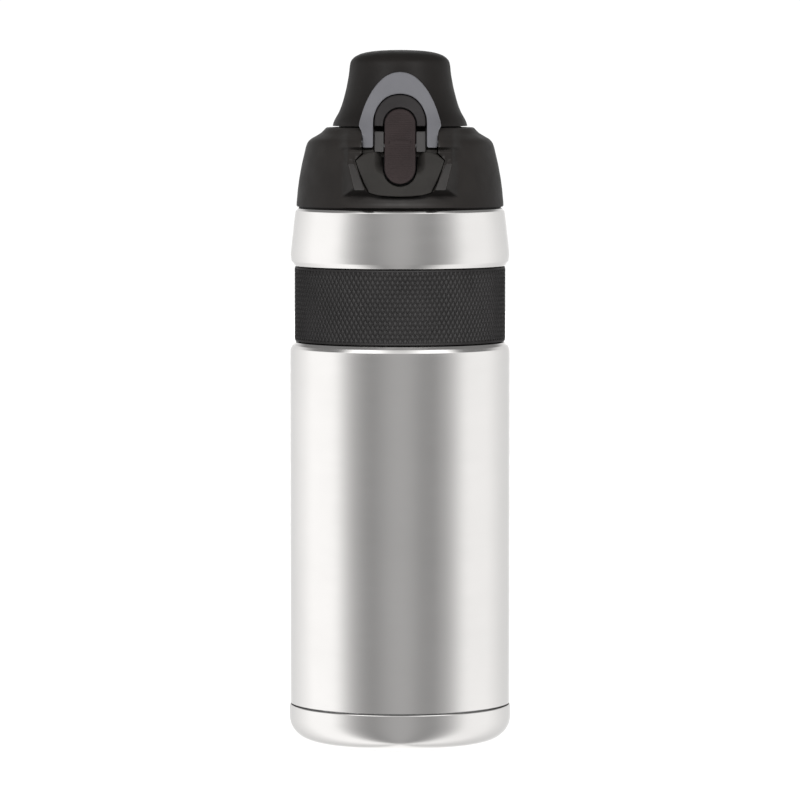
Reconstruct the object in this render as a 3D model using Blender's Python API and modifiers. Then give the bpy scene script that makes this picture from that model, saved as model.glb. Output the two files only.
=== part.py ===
"""Insulated bicycle bottle with a screw-on straw cap and a flip lid.

The bottle stands on z = 0 with its axis on Z. The button side faces -Y and the
lid hinge is at +Y. Dimensions below are in millimetres; the model is in metres.
Each object is one physical piece.
"""

import math

import bmesh
import bpy
from mathutils import Matrix, Vector

MM = 0.001

# ---------------------------------------------------------------- dimensions
SEG = 40                 # facets round the large turned pieces
SEG_MID = 32
SEG_SMALL = 20
GAP = 0.3                # clearance between pieces that touch

TUBE_R = 37.15           # outer shell, straight part (fits a standard cage)
BASE_R = 37.5
BASE_CORNER = 8.7
BASE_TOP = 12.5
SHELL_BOTTOM = 13.1
WALL = 0.8               # sheet steel

GROOVE_Z0, GROOVE_Z1 = 134.0, 159.6
GROOVE_R = 34.0
BAND_R = 35.6

SHELL_TOP = 179.5
LINER_R = 32.4
LINER_FLOOR = 9.0
NECK_R = 23.9            # outside of the threaded neck
NECK_TOP = 194.0

THREAD_PITCH = 4.0
THREAD_TURNS = 1.6
THREAD_Z0 = 183.8

CAP_Z0 = 180.3
CAP_TOP = 206.9
CORE_R = 28.0
CORE_BORE = 26.3
ROOF_Z0, ROOF_Z1 = 196.4, 198.2
WELL_R = 20.0            # opening in the cap's top, under the lid

LID_Z0 = 207.35
LID_TOP = 232.85

HINGE_Y, HINGE_Z = 31.0, 195.0
HINGE_SLOT = 7.6         # half width of the slot for the lid's arm
RING_Y, RING_Z = -28.6, 202.4
BUTTON_Y, BUTTON_Z = -26.4, 201.0
BUTTON_HALF = 5.2
BUTTON_TOP, BUTTON_BOTTOM = 214.0, 188.6

STRAW_R = 3.9


# ---------------------------------------------------------------- scene setup
for old in list(bpy.data.objects):
    bpy.data.objects.remove(old, do_unlink=True)

parts = bpy.data.collections.new("bike_bottle")
guides = bpy.data.collections.new("bike_bottle_cutters")
bpy.context.scene.collection.children.link(parts)
bpy.context.scene.collection.children.link(guides)


def material(name, colour, roughness, metallic=0.0):
    mat = bpy.data.materials.new(name)
    mat.use_nodes = True
    shader = mat.node_tree.nodes["Principled BSDF"]
    shader.inputs["Base Color"].default_value = (*colour, 1.0)
    shader.inputs["Roughness"].default_value = roughness
    shader.inputs["Metallic"].default_value = metallic
    mat.diffuse_color = (*colour, 1.0)
    return mat


STEEL = ((0.62, 0.61, 0.60), 0.26, 1.0)
BLACK = ((0.030, 0.028, 0.027), 0.42)
INNER = ((0.045, 0.045, 0.046), 0.5)
RUBBER = ((0.022, 0.022, 0.022), 0.62)
GREY = ((0.19, 0.19, 0.205), 0.45)
SILICONE = ((0.55, 0.56, 0.57), 0.55)
CLEAR = ((0.50, 0.53, 0.56), 0.3)


def put(obj, collection):
    for other in list(obj.users_collection):
        other.objects.unlink(obj)
    collection.objects.link(obj)


def finish(obj, look):
    """Make obj a named piece: its collection, material and smooth shading."""
    put(obj, parts)
    obj.data.materials.clear()
    obj.data.materials.append(material("mat_" + obj.name, *look))
    obj.data.shade_smooth()
    obj.data.set_sharp_from_angle(angle=math.radians(35))
    return obj


def as_guide(obj):
    put(obj, guides)
    obj.hide_render = True
    obj.display_type = "WIRE"
    return obj


def from_bmesh(name, bm):
    mesh = bpy.data.meshes.new(name)
    bm.to_mesh(mesh)
    bm.free()
    obj = bpy.data.objects.new(name, mesh)
    bpy.context.scene.collection.objects.link(obj)
    return obj


def turned(name, profile, steps=SEG, loop=False, centre=(0.0, 0.0)):
    """A profile of (radius, height) turned about a vertical axis.

    The profile runs down the outer side. With loop the last point joins the
    first, which makes a ring; otherwise both ends lie on the axis.
    """
    mesh = bpy.data.meshes.new(name)
    points = [(r * MM, 0.0, z * MM) for r, z in profile]
    edges = [(i, i + 1) for i in range(len(points) - 1)]
    if loop:
        edges.append((len(points) - 1, 0))
    mesh.from_pydata(points, edges, [])
    obj = bpy.data.objects.new(name, mesh)
    bpy.context.scene.collection.objects.link(obj)
    obj.location = (centre[0] * MM, centre[1] * MM, 0.0)
    screw = obj.modifiers.new("turn", "SCREW")
    screw.axis = "Z"
    screw.angle = math.tau
    screw.steps = steps
    screw.render_steps = steps
    screw.use_merge_vertices = True
    screw.merge_threshold = 0.00001
    screw.use_smooth_shade = True
    return obj


def rod(name, radius, start, end, sides=SEG_SMALL):
    """A cylinder between two points."""
    a, b = Vector(start) * MM, Vector(end) * MM
    bm = bmesh.new()
    bmesh.ops.create_cone(
        bm, cap_ends=True, segments=sides,
        radius1=radius * MM, radius2=radius * MM, depth=(b - a).length,
    )
    turn = (b - a).to_track_quat("Z", "Y").to_matrix().to_4x4()
    bmesh.ops.transform(bm, matrix=Matrix.Translation((a + b) / 2) @ turn, verts=bm.verts)
    return from_bmesh(name, bm)


def block(name, low, high):
    bm = bmesh.new()
    bmesh.ops.create_cube(bm, size=1.0)
    size = [(h - l) * MM for l, h in zip(low, high)]
    mid = [(h + l) / 2 * MM for l, h in zip(low, high)]
    bmesh.ops.scale(bm, vec=size, verts=bm.verts)
    bmesh.ops.translate(bm, vec=mid, verts=bm.verts)
    return from_bmesh(name, bm)


def plate(name, outline, axis, low, high):
    """A flat outline extruded along Y (outline in x, z) or X (outline in y, z)."""
    curve = bpy.data.curves.new(name, "CURVE")
    curve.dimensions = "2D"
    curve.fill_mode = "BOTH"
    curve.extrude = (high - low) / 2 * MM
    spline = curve.splines.new("POLY")
    spline.points.add(len(outline) - 1)
    for point, (u, v) in zip(spline.points, outline):
        point.co = (u * MM, v * MM, 0.0, 1.0)
    spline.use_cyclic_u = True
    obj = bpy.data.objects.new(name, curve)
    bpy.context.scene.collection.objects.link(obj)
    if axis == "Y":
        stand = Matrix(((1, 0, 0, 0), (0, 0, -1, 0), (0, 1, 0, 0), (0, 0, 0, 1)))
        move = Matrix.Translation((0, (low + high) / 2 * MM, 0))
    else:
        stand = Matrix(((0, 0, 1, 0), (1, 0, 0, 0), (0, 1, 0, 0), (0, 0, 0, 1)))
        move = Matrix.Translation(((low + high) / 2 * MM, 0, 0))
    obj.matrix_world = move @ stand
    return solid_from_curve(obj)


def solid_from_curve(obj):
    """The curve as a closed mesh in the same place."""
    bpy.context.view_layer.update()
    graph = bpy.context.evaluated_depsgraph_get()
    mesh = bpy.data.meshes.new_from_object(obj.evaluated_get(graph))
    bm = bmesh.new()
    bm.from_mesh(mesh)
    bm.transform(obj.matrix_world)
    bmesh.ops.remove_doubles(bm, verts=bm.verts, dist=0.000002)
    bmesh.ops.recalc_face_normals(bm, faces=bm.faces)
    name = obj.name
    curve = obj.data
    bpy.data.objects.remove(obj, do_unlink=True)
    bpy.data.curves.remove(curve)
    bpy.data.meshes.remove(mesh)
    return from_bmesh(name, bm)


def boolean(obj, operation, other):
    modifier = obj.modifiers.new(operation.lower() + "_" + other.name, "BOOLEAN")
    modifier.operation = operation
    modifier.solver = "EXACT"
    modifier.object = as_guide(other)
    return obj


def cut(obj, other):
    return boolean(obj, "DIFFERENCE", other)


def join(obj, other):
    return boolean(obj, "UNION", other)


def common(obj, other):
    return boolean(obj, "INTERSECT", other)


def arc(cx, cz, radius, start, end, count):
    """Points on an arc, angles in degrees."""
    return [
        (
            cx + radius * math.cos(math.radians(start + (end - start) * i / count)),
            cz + radius * math.sin(math.radians(start + (end - start) * i / count)),
        )
        for i in range(count + 1)
    ]


def between(table, u):
    """Smooth interpolation in a table of (u, value)."""
    if u <= table[0][0]:
        return table[0][1]
    for i in range(len(table) - 1):
        (u0, v0), (u1, v1) = table[i], table[i + 1]
        if u <= u1:
            before = table[max(i - 1, 0)]
            after = table[min(i + 2, len(table) - 1)]
            slope0 = (v1 - before[1]) / (u1 - before[0]) * (u1 - u0)
            slope1 = (after[1] - v0) / (after[0] - u0) * (u1 - u0)
            t = (u - u0) / (u1 - u0)
            return (
                (2 * t**3 - 3 * t**2 + 1) * v0 + (t**3 - 2 * t**2 + t) * slope0
                + (-2 * t**3 + 3 * t**2) * v1 + (t**3 - t**2) * slope1
            )
    return table[-1][1]


# ------------------------------------------------- the sloping front of the cap
# The button, its bezel and the lock ring share one curved face, FACE, that
# leans back from the foot of the bezel to the top of the ring.
FACE = [
    (183.0, -37.30), (186.0, -36.95), (189.0, -36.25), (192.0, -35.20),
    (195.0, -33.95), (198.0, -32.40), (201.0, -30.60), (204.0, -28.80),
    (207.0, -27.00), (210.0, -25.30), (213.0, -23.70), (216.0, -22.35),
    (219.0, -21.25), (222.0, -20.40), (225.5, -19.65), (228.0, -19.20),
]
FACE_BOW = 60.0          # twice the radius of the ring and button across the bottle
SHIELD_BOW = 130.0       # the bezel is flatter


def face(x, z, depth=0.0):
    return between(FACE, z) + x * x / FACE_BOW + depth


def ring_face(x, z, depth=0.0):
    """The ring's front: bowed like the lid at its arch, flat at its legs, so that its pivots lie inside them."""
    share = min(1.0, max(0.0, (z - 204.5) / 8.0))
    share = share * share * (3 - 2 * share)
    return between(FACE, z) + share * x * x / FACE_BOW + 0.35 * (1 - share) + depth


def shield(x, z, depth=0.0):
    return between(FACE, z) + x * x / SHIELD_BOW + depth


def tongue(x, z):
    """The raised pad on the lid inside the ring: it clears the ring as the lid swings."""
    return HINGE_Y - math.sqrt(55.15**2 - (z - HINGE_Z) ** 2) + x * x / 44.0


def relief(name, x_half, z_low, z_high, front, back, dx=4.0, dz=3.0):
    """A solid between two height fields over the (x, z) plane."""
    nx = max(2, round(2 * x_half / dx))
    nz = max(1, round((z_high - z_low) / dz))
    bm = bmesh.new()
    bmesh.ops.create_grid(bm, x_segments=nx, y_segments=nz, size=0.5)
    for v in bm.verts:
        x = v.co.x * 2 * x_half
        z = z_low + (v.co.y + 0.5) * (z_high - z_low)
        v.co = (x * MM, back(x, z) * MM, z * MM)
    lift = bmesh.ops.extrude_face_region(bm, geom=bm.faces[:] + bm.edges[:] + bm.verts[:])
    for v in lift["geom"]:
        if isinstance(v, bmesh.types.BMVert):
            v.co.y = front(v.co.x / MM, v.co.z / MM) * MM
    bmesh.ops.recalc_face_normals(bm, faces=bm.faces)
    return from_bmesh(name, bm)


# ---------------------------------------------------------------- steel bottle
shell_outer = [
    (35.0, SHELL_TOP - 0.4), (35.5, 178.2), (36.05, 173.4), (36.75, 166.0),
    (37.03, 163.2), (36.75, 161.2), (35.9, GROOVE_Z1), (GROOVE_R, GROOVE_Z1),
    (GROOVE_R, GROOVE_Z0), (35.75, GROOVE_Z0), (36.5, 133.0), (TUBE_R, 130.9),
    (TUBE_R, SHELL_BOTTOM),
]
shell_inner = [
    (TUBE_R - WALL, SHELL_BOTTOM), (TUBE_R - WALL, 130.5), (35.8, 132.4),
    (GROOVE_R - WALL, 132.9), (GROOVE_R - WALL, 160.8), (35.8, 161.6),
    (36.2, 163.4), (35.2, 173.4), (34.6, 178.0), (34.3, SHELL_TOP - WALL),
    (24.3, SHELL_TOP - WALL), (24.3, SHELL_TOP), (34.4, SHELL_TOP),
]
outer_shell = finish(turned("outer_shell", shell_outer + shell_inner, loop=True), STEEL)

c = BASE_CORNER
base_outer = (
    [(BASE_R - 0.2, BASE_TOP), (BASE_R, BASE_TOP - 0.4)]
    + arc(BASE_R - c, c, c, 0, -90, 5)
    + [(18.0, 0.0), (17.0, 1.0), (0.0, 1.0)]
)
base_inner = [(0.0, 1.8), (17.4, 1.8), (18.4, WALL)] + arc(
    BASE_R - c, c, c - WALL, -90, 0, 3
) + [(BASE_R - WALL, BASE_TOP)]
base_cup = finish(
    turned("base_cup", [(0.0, 1.8)] + base_inner[1:] + base_outer, steps=SEG), STEEL
)

plate_out = [
    (36.0, 17.0), (36.0, 8.5), (34.6, 5.4), (31.0, 4.2), (8.0, 4.2), (5.0, 5.0), (0.0, 5.0),
]
vacuum_bottom = finish(
    turned(
        "vacuum_bottom",
        [(0.0, 5.8), (5.4, 5.8), (8.4, 5.0), (30.8, 5.0), (34.0, 6.1), (35.2, 8.8), (35.2, 17.0)]
        + plate_out,
        steps=SEG_MID,
    ),
    STEEL,
)
seal_bead = finish(
    turned("seal_bead", [(0.0, 4.7), (3.6, 4.7), (4.2, 4.2), (3.4, 3.4), (0.0, 3.2)], steps=SEG_SMALL),
    ((0.06, 0.05, 0.05), 0.3),
)

liner_outer = [
    (NECK_R - 0.4, NECK_TOP), (NECK_R, NECK_TOP - 0.4), (NECK_R, 176.2), (24.9, 174.4),
    (30.6, 169.6), (32.1, 166.6), (LINER_R, 163.0), (LINER_R, 17.0),
    (31.0, 12.2), (27.0, LINER_FLOOR), (0.0, LINER_FLOOR),
]
liner_inner = [
    (0.0, LINER_FLOOR + WALL), (26.8, LINER_FLOOR + WALL), (30.4, 12.7), (LINER_R - WALL, 17.2),
    (LINER_R - WALL, 162.8), (31.3, 166.2), (30.0, 168.9), (24.0, 173.8),
    (22.2, 176.0), (22.2, NECK_TOP - 0.4), (22.6, NECK_TOP),
]
inner_liner = turned("inner_liner", liner_inner + liner_outer, steps=SEG_MID)


def thread(name, root, crest, z_mid, turns, width_root, width_crest):
    """A helical ridge of trapezoid section, closed at both ends."""
    mesh = bpy.data.meshes.new(name)
    section = [
        (root, -width_root / 2), (crest, -width_crest / 2),
        (crest, width_crest / 2), (root, width_root / 2),
    ]
    mesh.from_pydata([(r * MM, 0, (z_mid + h) * MM) for r, h in section], [(0, 1), (1, 2), (2, 3), (3, 0)], [])
    obj = bpy.data.objects.new(name, mesh)
    bpy.context.scene.collection.objects.link(obj)
    screw = obj.modifiers.new("helix", "SCREW")
    screw.axis = "Z"
    screw.angle = math.tau * turns
    screw.screw_offset = THREAD_PITCH * turns * MM
    screw.steps = round(SEG_MID * turns)
    screw.render_steps = round(SEG_MID * turns)
    screw.use_merge_vertices = False
    bpy.context.view_layer.update()
    graph = bpy.context.evaluated_depsgraph_get()
    swept = bpy.data.meshes.new_from_object(obj.evaluated_get(graph))
    bpy.data.objects.remove(obj, do_unlink=True)
    bm = bmesh.new()
    bm.from_mesh(swept)
    bmesh.ops.holes_fill(bm, edges=[e for e in bm.edges if e.is_boundary], sides=0)
    bmesh.ops.recalc_face_normals(bm, faces=bm.faces)
    return from_bmesh(name, bm)


join(inner_liner, thread("neck_thread", NECK_R - 0.3, NECK_R + 1.3, THREAD_Z0, THREAD_TURNS, 1.5, 0.7))
finish(inner_liner, STEEL)

getter = finish(
    turned("getter", [(0.0, 8.7), (4.6, 8.7), (5.0, 8.3), (5.0, 6.6), (4.6, 6.2), (0.0, 6.2)], steps=SEG_SMALL),
    ((0.30, 0.30, 0.31), 0.6, 1.0),
)

grip_band = finish(
    turned(
        "grip_band",
        [
            (BAND_R - 0.3, GROOVE_Z1 - GAP), (BAND_R, GROOVE_Z1 - 0.7),
            (BAND_R, GROOVE_Z0 + 0.7), (BAND_R - 0.3, GROOVE_Z0 + GAP),
            (GROOVE_R + GAP, GROOVE_Z0 + GAP), (GROOVE_R + GAP, GROOVE_Z1 - GAP),
        ],
        loop=True,
    ),
    RUBBER,
)

# ---------------------------------------------------------------- screw cap
neck_gasket = finish(
    turned(
        "neck_gasket",
        [(25.6, ROOF_Z0 - GAP), (25.6, 194.8), (25.0, NECK_TOP + GAP), (21.6, NECK_TOP + GAP), (21.6, ROOF_Z0 - GAP)],
        steps=SEG_MID, loop=True,
    ),
    SILICONE,
)

core = turned(
    "cap_core",
    [
        (22.2, 204.7), (22.2, ROOF_Z1), (CORE_R - 0.4, ROOF_Z1), (CORE_R, ROOF_Z1 - 0.4), (CORE_R, 181.4),
        (CORE_BORE, 181.4), (CORE_BORE, ROOF_Z0), (8.6, ROOF_Z0), (8.6, ROOF_Z1), (20.5, ROOF_Z1), (20.5, 204.7),
    ],
    steps=SEG_MID, loop=True,
)
join(core, thread("cap_thread", CORE_BORE + 0.3, CORE_BORE - 1.5, THREAD_Z0 + THREAD_PITCH / 2, 1.4, 1.5, 0.7))
cut(core, rod("vent_hole", 1.7, (13.5, 0, ROOF_Z0 - 1), (13.5, 0, ROOF_Z1 + 1), 14))
cut(core, block("latch_notch", (-4.6, -24.0, 202.4), (4.6, -17.0, 206.0)))
cap_core = finish(core, INNER)

cap_outer = [
    (24.5, CAP_TOP), (25.9, 206.0), (28.7, 204.0), (30.6, 203.0), (31.6, 201.4),
    (32.9, 196.0), (34.1, 188.4), (34.85, 181.2), (34.6, CAP_Z0),
]
cap_inner = [
    (32.9, CAP_Z0), (32.3, 188.4), (31.1, 196.0), (29.6, 201.0),
    (27.6, 202.5), (24.6, 204.4), (22.6, 205.1), (WELL_R, 205.1), (WELL_R, CAP_TOP),
]
cap_shell = turned("cap_shell", cap_outer + cap_inner, loop=True)

# ears that carry the lock ring, and lugs that carry the hinge pin
for side in (-1, 1):
    ear = rod(f"ear_{side}", 4.3, (side * 12.95, -26.9, 202.0), (side * 17.5, -25.2, 202.0), 20)
    join(cap_shell, ear)
    lug = rod(f"lug_{side}", 3.3, (side * HINGE_SLOT, HINGE_Y, HINGE_Z), (side * 11.4, HINGE_Y, HINGE_Z), 20)
    join(cap_shell, lug)

# the raised boss that carries the bezel: steep sides, a chamfered foot
def boss_face(x, z):
    side = 14.95 - max(0.0, 196.4 - z) * 0.41
    over = (abs(x) - 10.1) * 0.559 + (z - 199.5) * 0.829  # beyond the sloping top corners
    y = shield(x, z) + 1.45 * max(0.0, abs(x) - side) + 0.95 * max(0.0, 186.6 - z)
    return min(y + 1.5 * max(0.0, over - 0.3), -28.7)


join(cap_shell, relief("front_boss", 17.0, 184.2, 200.2, boss_face, lambda x, z: -28.3, dx=2.5, dz=2.4))

# outline of the bezel: a shield below, the channel for the ring's legs above
SHIELD = [
    (14.65, 196.4), (13.35, 192.6), (11.9, 188.9), (10.2, 185.9),
    (7.4, 185.1), (3.8, 184.75), (0.0, 184.65),
]
SHIELD_TOP = [(0.0, 206.1), (12.6, 206.1), (12.6, 198.9)]


def mirrored(half):
    """A closed outline from its +X half, listed from top to bottom."""
    return half + [(-x, z) for x, z in reversed(half) if abs(x) > 1e-6]


def grown(half, by):
    """The half outline moved outwards by a margin."""
    out = []
    for i, (x, z) in enumerate(half):
        x0, z0 = half[max(i - 1, 0)]
        x1, z1 = half[min(i + 1, len(half) - 1)]
        if i == 0:
            normal = Vector((0.0, 1.0))
        elif i == len(half) - 1:
            normal = Vector((0.0, -1.0))
        else:
            a = Vector((x - x0, z - z0)).normalized()
            b = Vector((x1 - x, z1 - z)).normalized()
            na, nb = Vector((-a.y, a.x)), Vector((-b.y, b.x))
            normal = (na + nb).normalized()
            normal = normal / max(0.5, normal.dot(na))
        out.append((x + normal.x * by, z + normal.y * by))
    return out


BEZEL_HALF = SHIELD_TOP + SHIELD
pocket = plate("bezel_pocket", mirrored(grown(BEZEL_HALF, GAP)), "Y", -45.0, -23.0)
cut(cap_shell, pocket)
for side in (-1, 1):
    low, high = sorted((side * 7.0, side * 12.95))
    cut(cap_shell, block(f"leg_channel_{side}", (low, -45.0, 199.0), (high, -19.0, 207.5)))
cut(cap_shell, block("latch_window", (-7.5, -45.0, 203.0), (7.5, -19.0, 207.5)))
cut(cap_shell, rod("ring_pivot_bore", 1.5, (-15.4, RING_Y, RING_Z), (15.4, RING_Y, RING_Z), 16))
cut(cap_shell, block("hinge_slot", (-HINGE_SLOT, 19.0, 190.0), (HINGE_SLOT, 42.0, 207.5)))
cut(cap_shell, rod("hinge_bore", 1.55, (-13, HINGE_Y, HINGE_Z), (13, HINGE_Y, HINGE_Z), 16))
finish(cap_shell, BLACK)

# ---------------------------------------------------------------- bezel and button
bezel = relief("bezel", 16.0, 183.5, 199.6, shield, lambda x, z: max(shield(x, z, 3.0), -31.3))
common(bezel, plate("shield_outline", mirrored([(0.0, 199.2), (10.2, 199.2), (12.2, 198.6)] + SHIELD), "Y", -45.0, -20.0))
rear_plate = relief(
    "bezel_back", 12.6, 198.65, 206.1,
    lambda x, z: face(x, z, 2.7), lambda x, z: face(x, z, 4.3), dx=5.0,
)
join(bezel, rear_plate)
for side in (-1, 1):
    post = relief(f"bezel_post_{side}", 8.9, 197.9, 206.0, face, lambda x, z: face(x, z, 3.5), dx=8.9)
    low, high = sorted((side * 5.5, side * 8.4))
    common(post, block(f"post_width_{side}", (low, -45, 198.3), (high, -15, 205.8)))
    join(bezel, post)
    cut(bezel, rod(f"scoop_{side}", 3.4, (side * 5.7, -46.0, 195.6), (side * 5.7, -32.5, 195.6), 20))
SLOT = BUTTON_HALF + GAP
# the slot leaves room below the button, whose lower end swings in and down
slot_outline = arc(0, BUTTON_BOTTOM + BUTTON_HALF - 0.5, SLOT, 180, 360, 11) + [(SLOT, 207.0), (-SLOT, 207.0)]
cut(bezel, plate("button_slot", slot_outline, "Y", -46.0, -18.0))
cut(bezel, rod("button_pin_bore", 1.15, (-7.6, BUTTON_Y, BUTTON_Z), (7.6, BUTTON_Y, BUTTON_Z), 12))
finish(bezel, BLACK)

pill = arc(0, BUTTON_BOTTOM + BUTTON_HALF, BUTTON_HALF, 180, 360, 10) + arc(
    0, BUTTON_TOP - BUTTON_HALF, BUTTON_HALF, 0, 180, 10
)
button = plate("button", pill, "Y", -45.0, -15.0)
common(button, relief("button_face", 6.0, 187.0, 215.5, face, lambda x, z: face(x, z, 1.9), dx=3.0))
join(button, block("button_rib", (-3.4, -30.2, 199.3), (3.4, -24.3, 203.0)))
cut(button, rod("button_bore", 1.15, (-5, BUTTON_Y, BUTTON_Z), (5, BUTTON_Y, BUTTON_Z), 12))
finish(button, ((0.050, 0.040, 0.039), 0.5))
button_pin = finish(
    rod("button_pin", 0.85, (-7.2, BUTTON_Y, BUTTON_Z), (7.2, BUTTON_Y, BUTTON_Z), 12), STEEL
)


def coil(name, radius, wire, length, turns, place, sides_per_turn=10):
    """A helical spring with its axis along local Z, set by the matrix place."""
    curve = bpy.data.curves.new(name, "CURVE")
    curve.dimensions = "3D"
    curve.bevel_depth = wire / 2 * MM
    curve.bevel_resolution = 1
    curve.use_fill_caps = True
    count = round(turns * sides_per_turn)
    spline = curve.splines.new("POLY")
    spline.points.add(count)
    for i, point in enumerate(spline.points):
        angle = math.tau * turns * i / count
        point.co = (
            radius * math.cos(angle) * MM, radius * math.sin(angle) * MM,
            length * (i / count - 0.5) * MM, 1.0,
        )
    obj = bpy.data.objects.new(name, curve)
    bpy.context.scene.collection.objects.link(obj)
    obj.matrix_world = place
    return solid_from_curve(obj)


SPRING_Z = 192.6
SPRING_FRONT = face(0, SPRING_Z, 1.9) + 0.75
SPRING_BACK = -28.65
button_spring = finish(
    coil(
        "button_spring", 1.7, 0.5, SPRING_BACK - SPRING_FRONT - 0.6, 3.5,
        Matrix.Translation((0, (SPRING_FRONT + SPRING_BACK) / 2 * MM, SPRING_Z * MM))
        @ Matrix.Rotation(math.radians(90), 4, "X"),
    ),
    STEEL,
)

# ---------------------------------------------------------------- lock ring
RING_HALF = [
    (0.0, 225.5), (2.6, 225.1), (5.0, 223.9), (7.4, 221.7), (9.4, 219.0), (11.2, 215.6),
    (12.5, 212.2), (13.4, 209.2), (13.65, 207.6), (12.7, 205.9), (12.5, 204.2), (12.5, 202.4),
]
RING_INNER = [
    (8.9, 202.4), (8.9, 209.5), (8.5, 212.0), (7.4, 214.6), (5.6, 216.9), (3.1, 218.4), (0.0, 218.9),
]
leg_end = arc(10.7, 202.4, 1.8, 0, -180, 6)
ring_half = RING_HALF[:-1] + leg_end + RING_INNER[1:]
ring_outline = ring_half + [(-x, z) for x, z in reversed(ring_half) if abs(x) > 1e-6]
lock_ring = plate("lock_ring", ring_outline, "Y", -45.0, -12.0)
common(lock_ring, relief("ring_face", 14.5, 199.0, 227.0, ring_face, lambda x, z: ring_face(x, z, 2.0), dx=3.6))
for side in (-1, 1):
    join(lock_ring, rod(f"ring_stub_{side}", 1.15, (side * 11.5, RING_Y, RING_Z), (side * 14.6, RING_Y, RING_Z), 12))
finish(lock_ring, GREY)

# ---------------------------------------------------------------- lid
lid_outer = [
    (0.0, LID_TOP), (7.5, 232.65), (12.4, 232.1), (15.0, 230.8), (16.4, 229.5),
    (17.3, 225.4), (18.8, 218.0), (20.0, 214.0), (21.3, 211.0), (22.3, 209.0), (22.65, LID_Z0),
]
lid_inner = [
    (20.8, LID_Z0), (19.4, 211.0), (18.2, 214.0), (17.0, 218.0), (15.5, 225.4),
    (14.9, 228.4), (12.6, 230.2), (0.0, 230.9),
]
lid = turned("lid_shell", lid_outer + lid_inner)
TONGUE_HALF = [
    (0.0, 218.45), (3.0, 217.95), (5.35, 216.5), (7.05, 214.35), (8.1, 211.9), (8.45, 209.5), (8.45, 207.8),
]
pad = relief("tongue_pad", 9.0, LID_Z0 + 0.25, 219.5, tongue, lambda x, z: tongue(x, z) + 1.9, dx=3.0, dz=2.0)
common(pad, plate("tongue_outline", TONGUE_HALF + [(-x, z) for x, z in reversed(TONGUE_HALF) if abs(x) > 1e-6], "Y", -45.0, -5.0))
join(lid, pad)
tab = plate(
    "latch_tab",
    [(-20.9, 208.6), (-20.9, 205.6), (-21.7, 204.9), (-21.7, 204.2), (-19.4, 204.2), (-19.2, 208.6)],
    "X", -3.6, 3.6,
)
join(lid, tab)
arm = plate(
    "hinge_arm",
    [
        (28.55, 195.4), (28.55, 201.6), (24.2, 205.4), (21.6, 207.1), (20.6, 208.6), (20.0, 211.0),
        (21.2, 211.0), (23.4, 210.0), (27.4, 207.6), (31.4, 203.6), (33.3, 199.0), (33.6, 195.4),
    ],
    "X", -7.2, 7.2,
)
join(lid, arm)
join(lid, rod("hinge_barrel", 2.6, (-7.2, HINGE_Y, HINGE_Z), (7.2, HINGE_Y, HINGE_Z), 20))
cut(lid, rod("barrel_bore", 1.55, (-8, HINGE_Y, HINGE_Z), (8, HINGE_Y, HINGE_Z), 16))
cut(lid, rod("spring_room", 3.4, (-2.9, HINGE_Y, HINGE_Z), (2.9, HINGE_Y, HINGE_Z), 20))
lid_shell = finish(lid, BLACK)

lid_liner = finish(
    turned(
        "lid_liner",
        [
            (0.0, 230.4), (10.6, 230.0), (11.6, 229.4), (11.6, 226.6), (10.4, 226.6), (10.4, 228.6), (8.2, 228.6),
            (8.2, 228.3), (0.0, 228.3),
        ],
        steps=SEG_MID,
    ),
    INNER,
)
lid_seal = finish(
    turned("lid_seal", [(0.0, 228.0), (7.6, 228.0), (8.0, 227.6), (8.0, 226.6), (7.6, 226.3), (0.0, 226.3)], steps=SEG_SMALL + 4),
    SILICONE,
)
hinge_pin = finish(
    rod("hinge_pin", 1.2, (-10.9, HINGE_Y, HINGE_Z), (10.9, HINGE_Y, HINGE_Z), 16), STEEL
)
hinge_spring = finish(
    coil(
        "hinge_spring", 2.1, 0.7, 4.0, 4.0,
        Matrix.Translation((0, HINGE_Y * MM, HINGE_Z * MM)) @ Matrix.Rotation(math.radians(90), 4, "Y"),
    ),
    STEEL,
)

# ---------------------------------------------------------------- spout and straw
spout_base = finish(
    turned(
        "spout_base",
        [
            (8.2, 208.4), (8.2, 199.9), (13.0, 199.9), (13.4, 199.5), (13.4, ROOF_Z1 + GAP), (8.3, ROOF_Z1 + GAP),
            (8.3, 190.4), (6.6, 190.4), (6.6, 208.4),
        ],
        steps=SEG_SMALL + 8, loop=True,
    ),
    INNER,
)
cut(spout_base, block("valve_clearance", (10.4, -3.2, 197), (16.0, 3.2, 202)))
spout_oring = finish(
    turned(
        "spout_oring",
        [(10.4, ROOF_Z0 - GAP), (10.6, 195.4), (10.4, 194.8), (8.6, 194.8), (8.6, ROOF_Z0 - GAP)],
        steps=SEG_SMALL + 4, loop=True,
    ),
    SILICONE,
)
mouthpiece = finish(
    turned(
        "mouthpiece",
        [
            (5.8, 226.0), (6.6, 225.3), (6.7, 224.0), (6.0, 221.6), (6.0, 210.4), (8.4, 209.6), (8.4, 208.7),
            (6.3, 208.7), (6.3, 192.0), (4.2, 192.0), (4.2, 205.6), (3.3, 206.6), (3.3, 226.0),
        ],
        steps=SEG_SMALL + 4, loop=True,
    ),
    SILICONE,
)
straw = finish(
    turned(
        "straw",
        [(STRAW_R, 204.4), (STRAW_R, 14.0), (3.1, 14.0), (3.1, 204.4)],
        steps=16, loop=True,
    ),
    CLEAR,
)
air_valve = finish(
    turned(
        "air_valve",
        [
            (0.0, 199.3), (2.2, 199.2), (2.5, ROOF_Z1 + GAP), (1.35, ROOF_Z1 + GAP), (1.35, ROOF_Z0 - GAP), (2.3, ROOF_Z0 - GAP),
            (2.1, 195.5), (0.0, 194.9),
        ],
        steps=14, centre=(13.5, 0.0),
    ),
    SILICONE,
)


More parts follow.
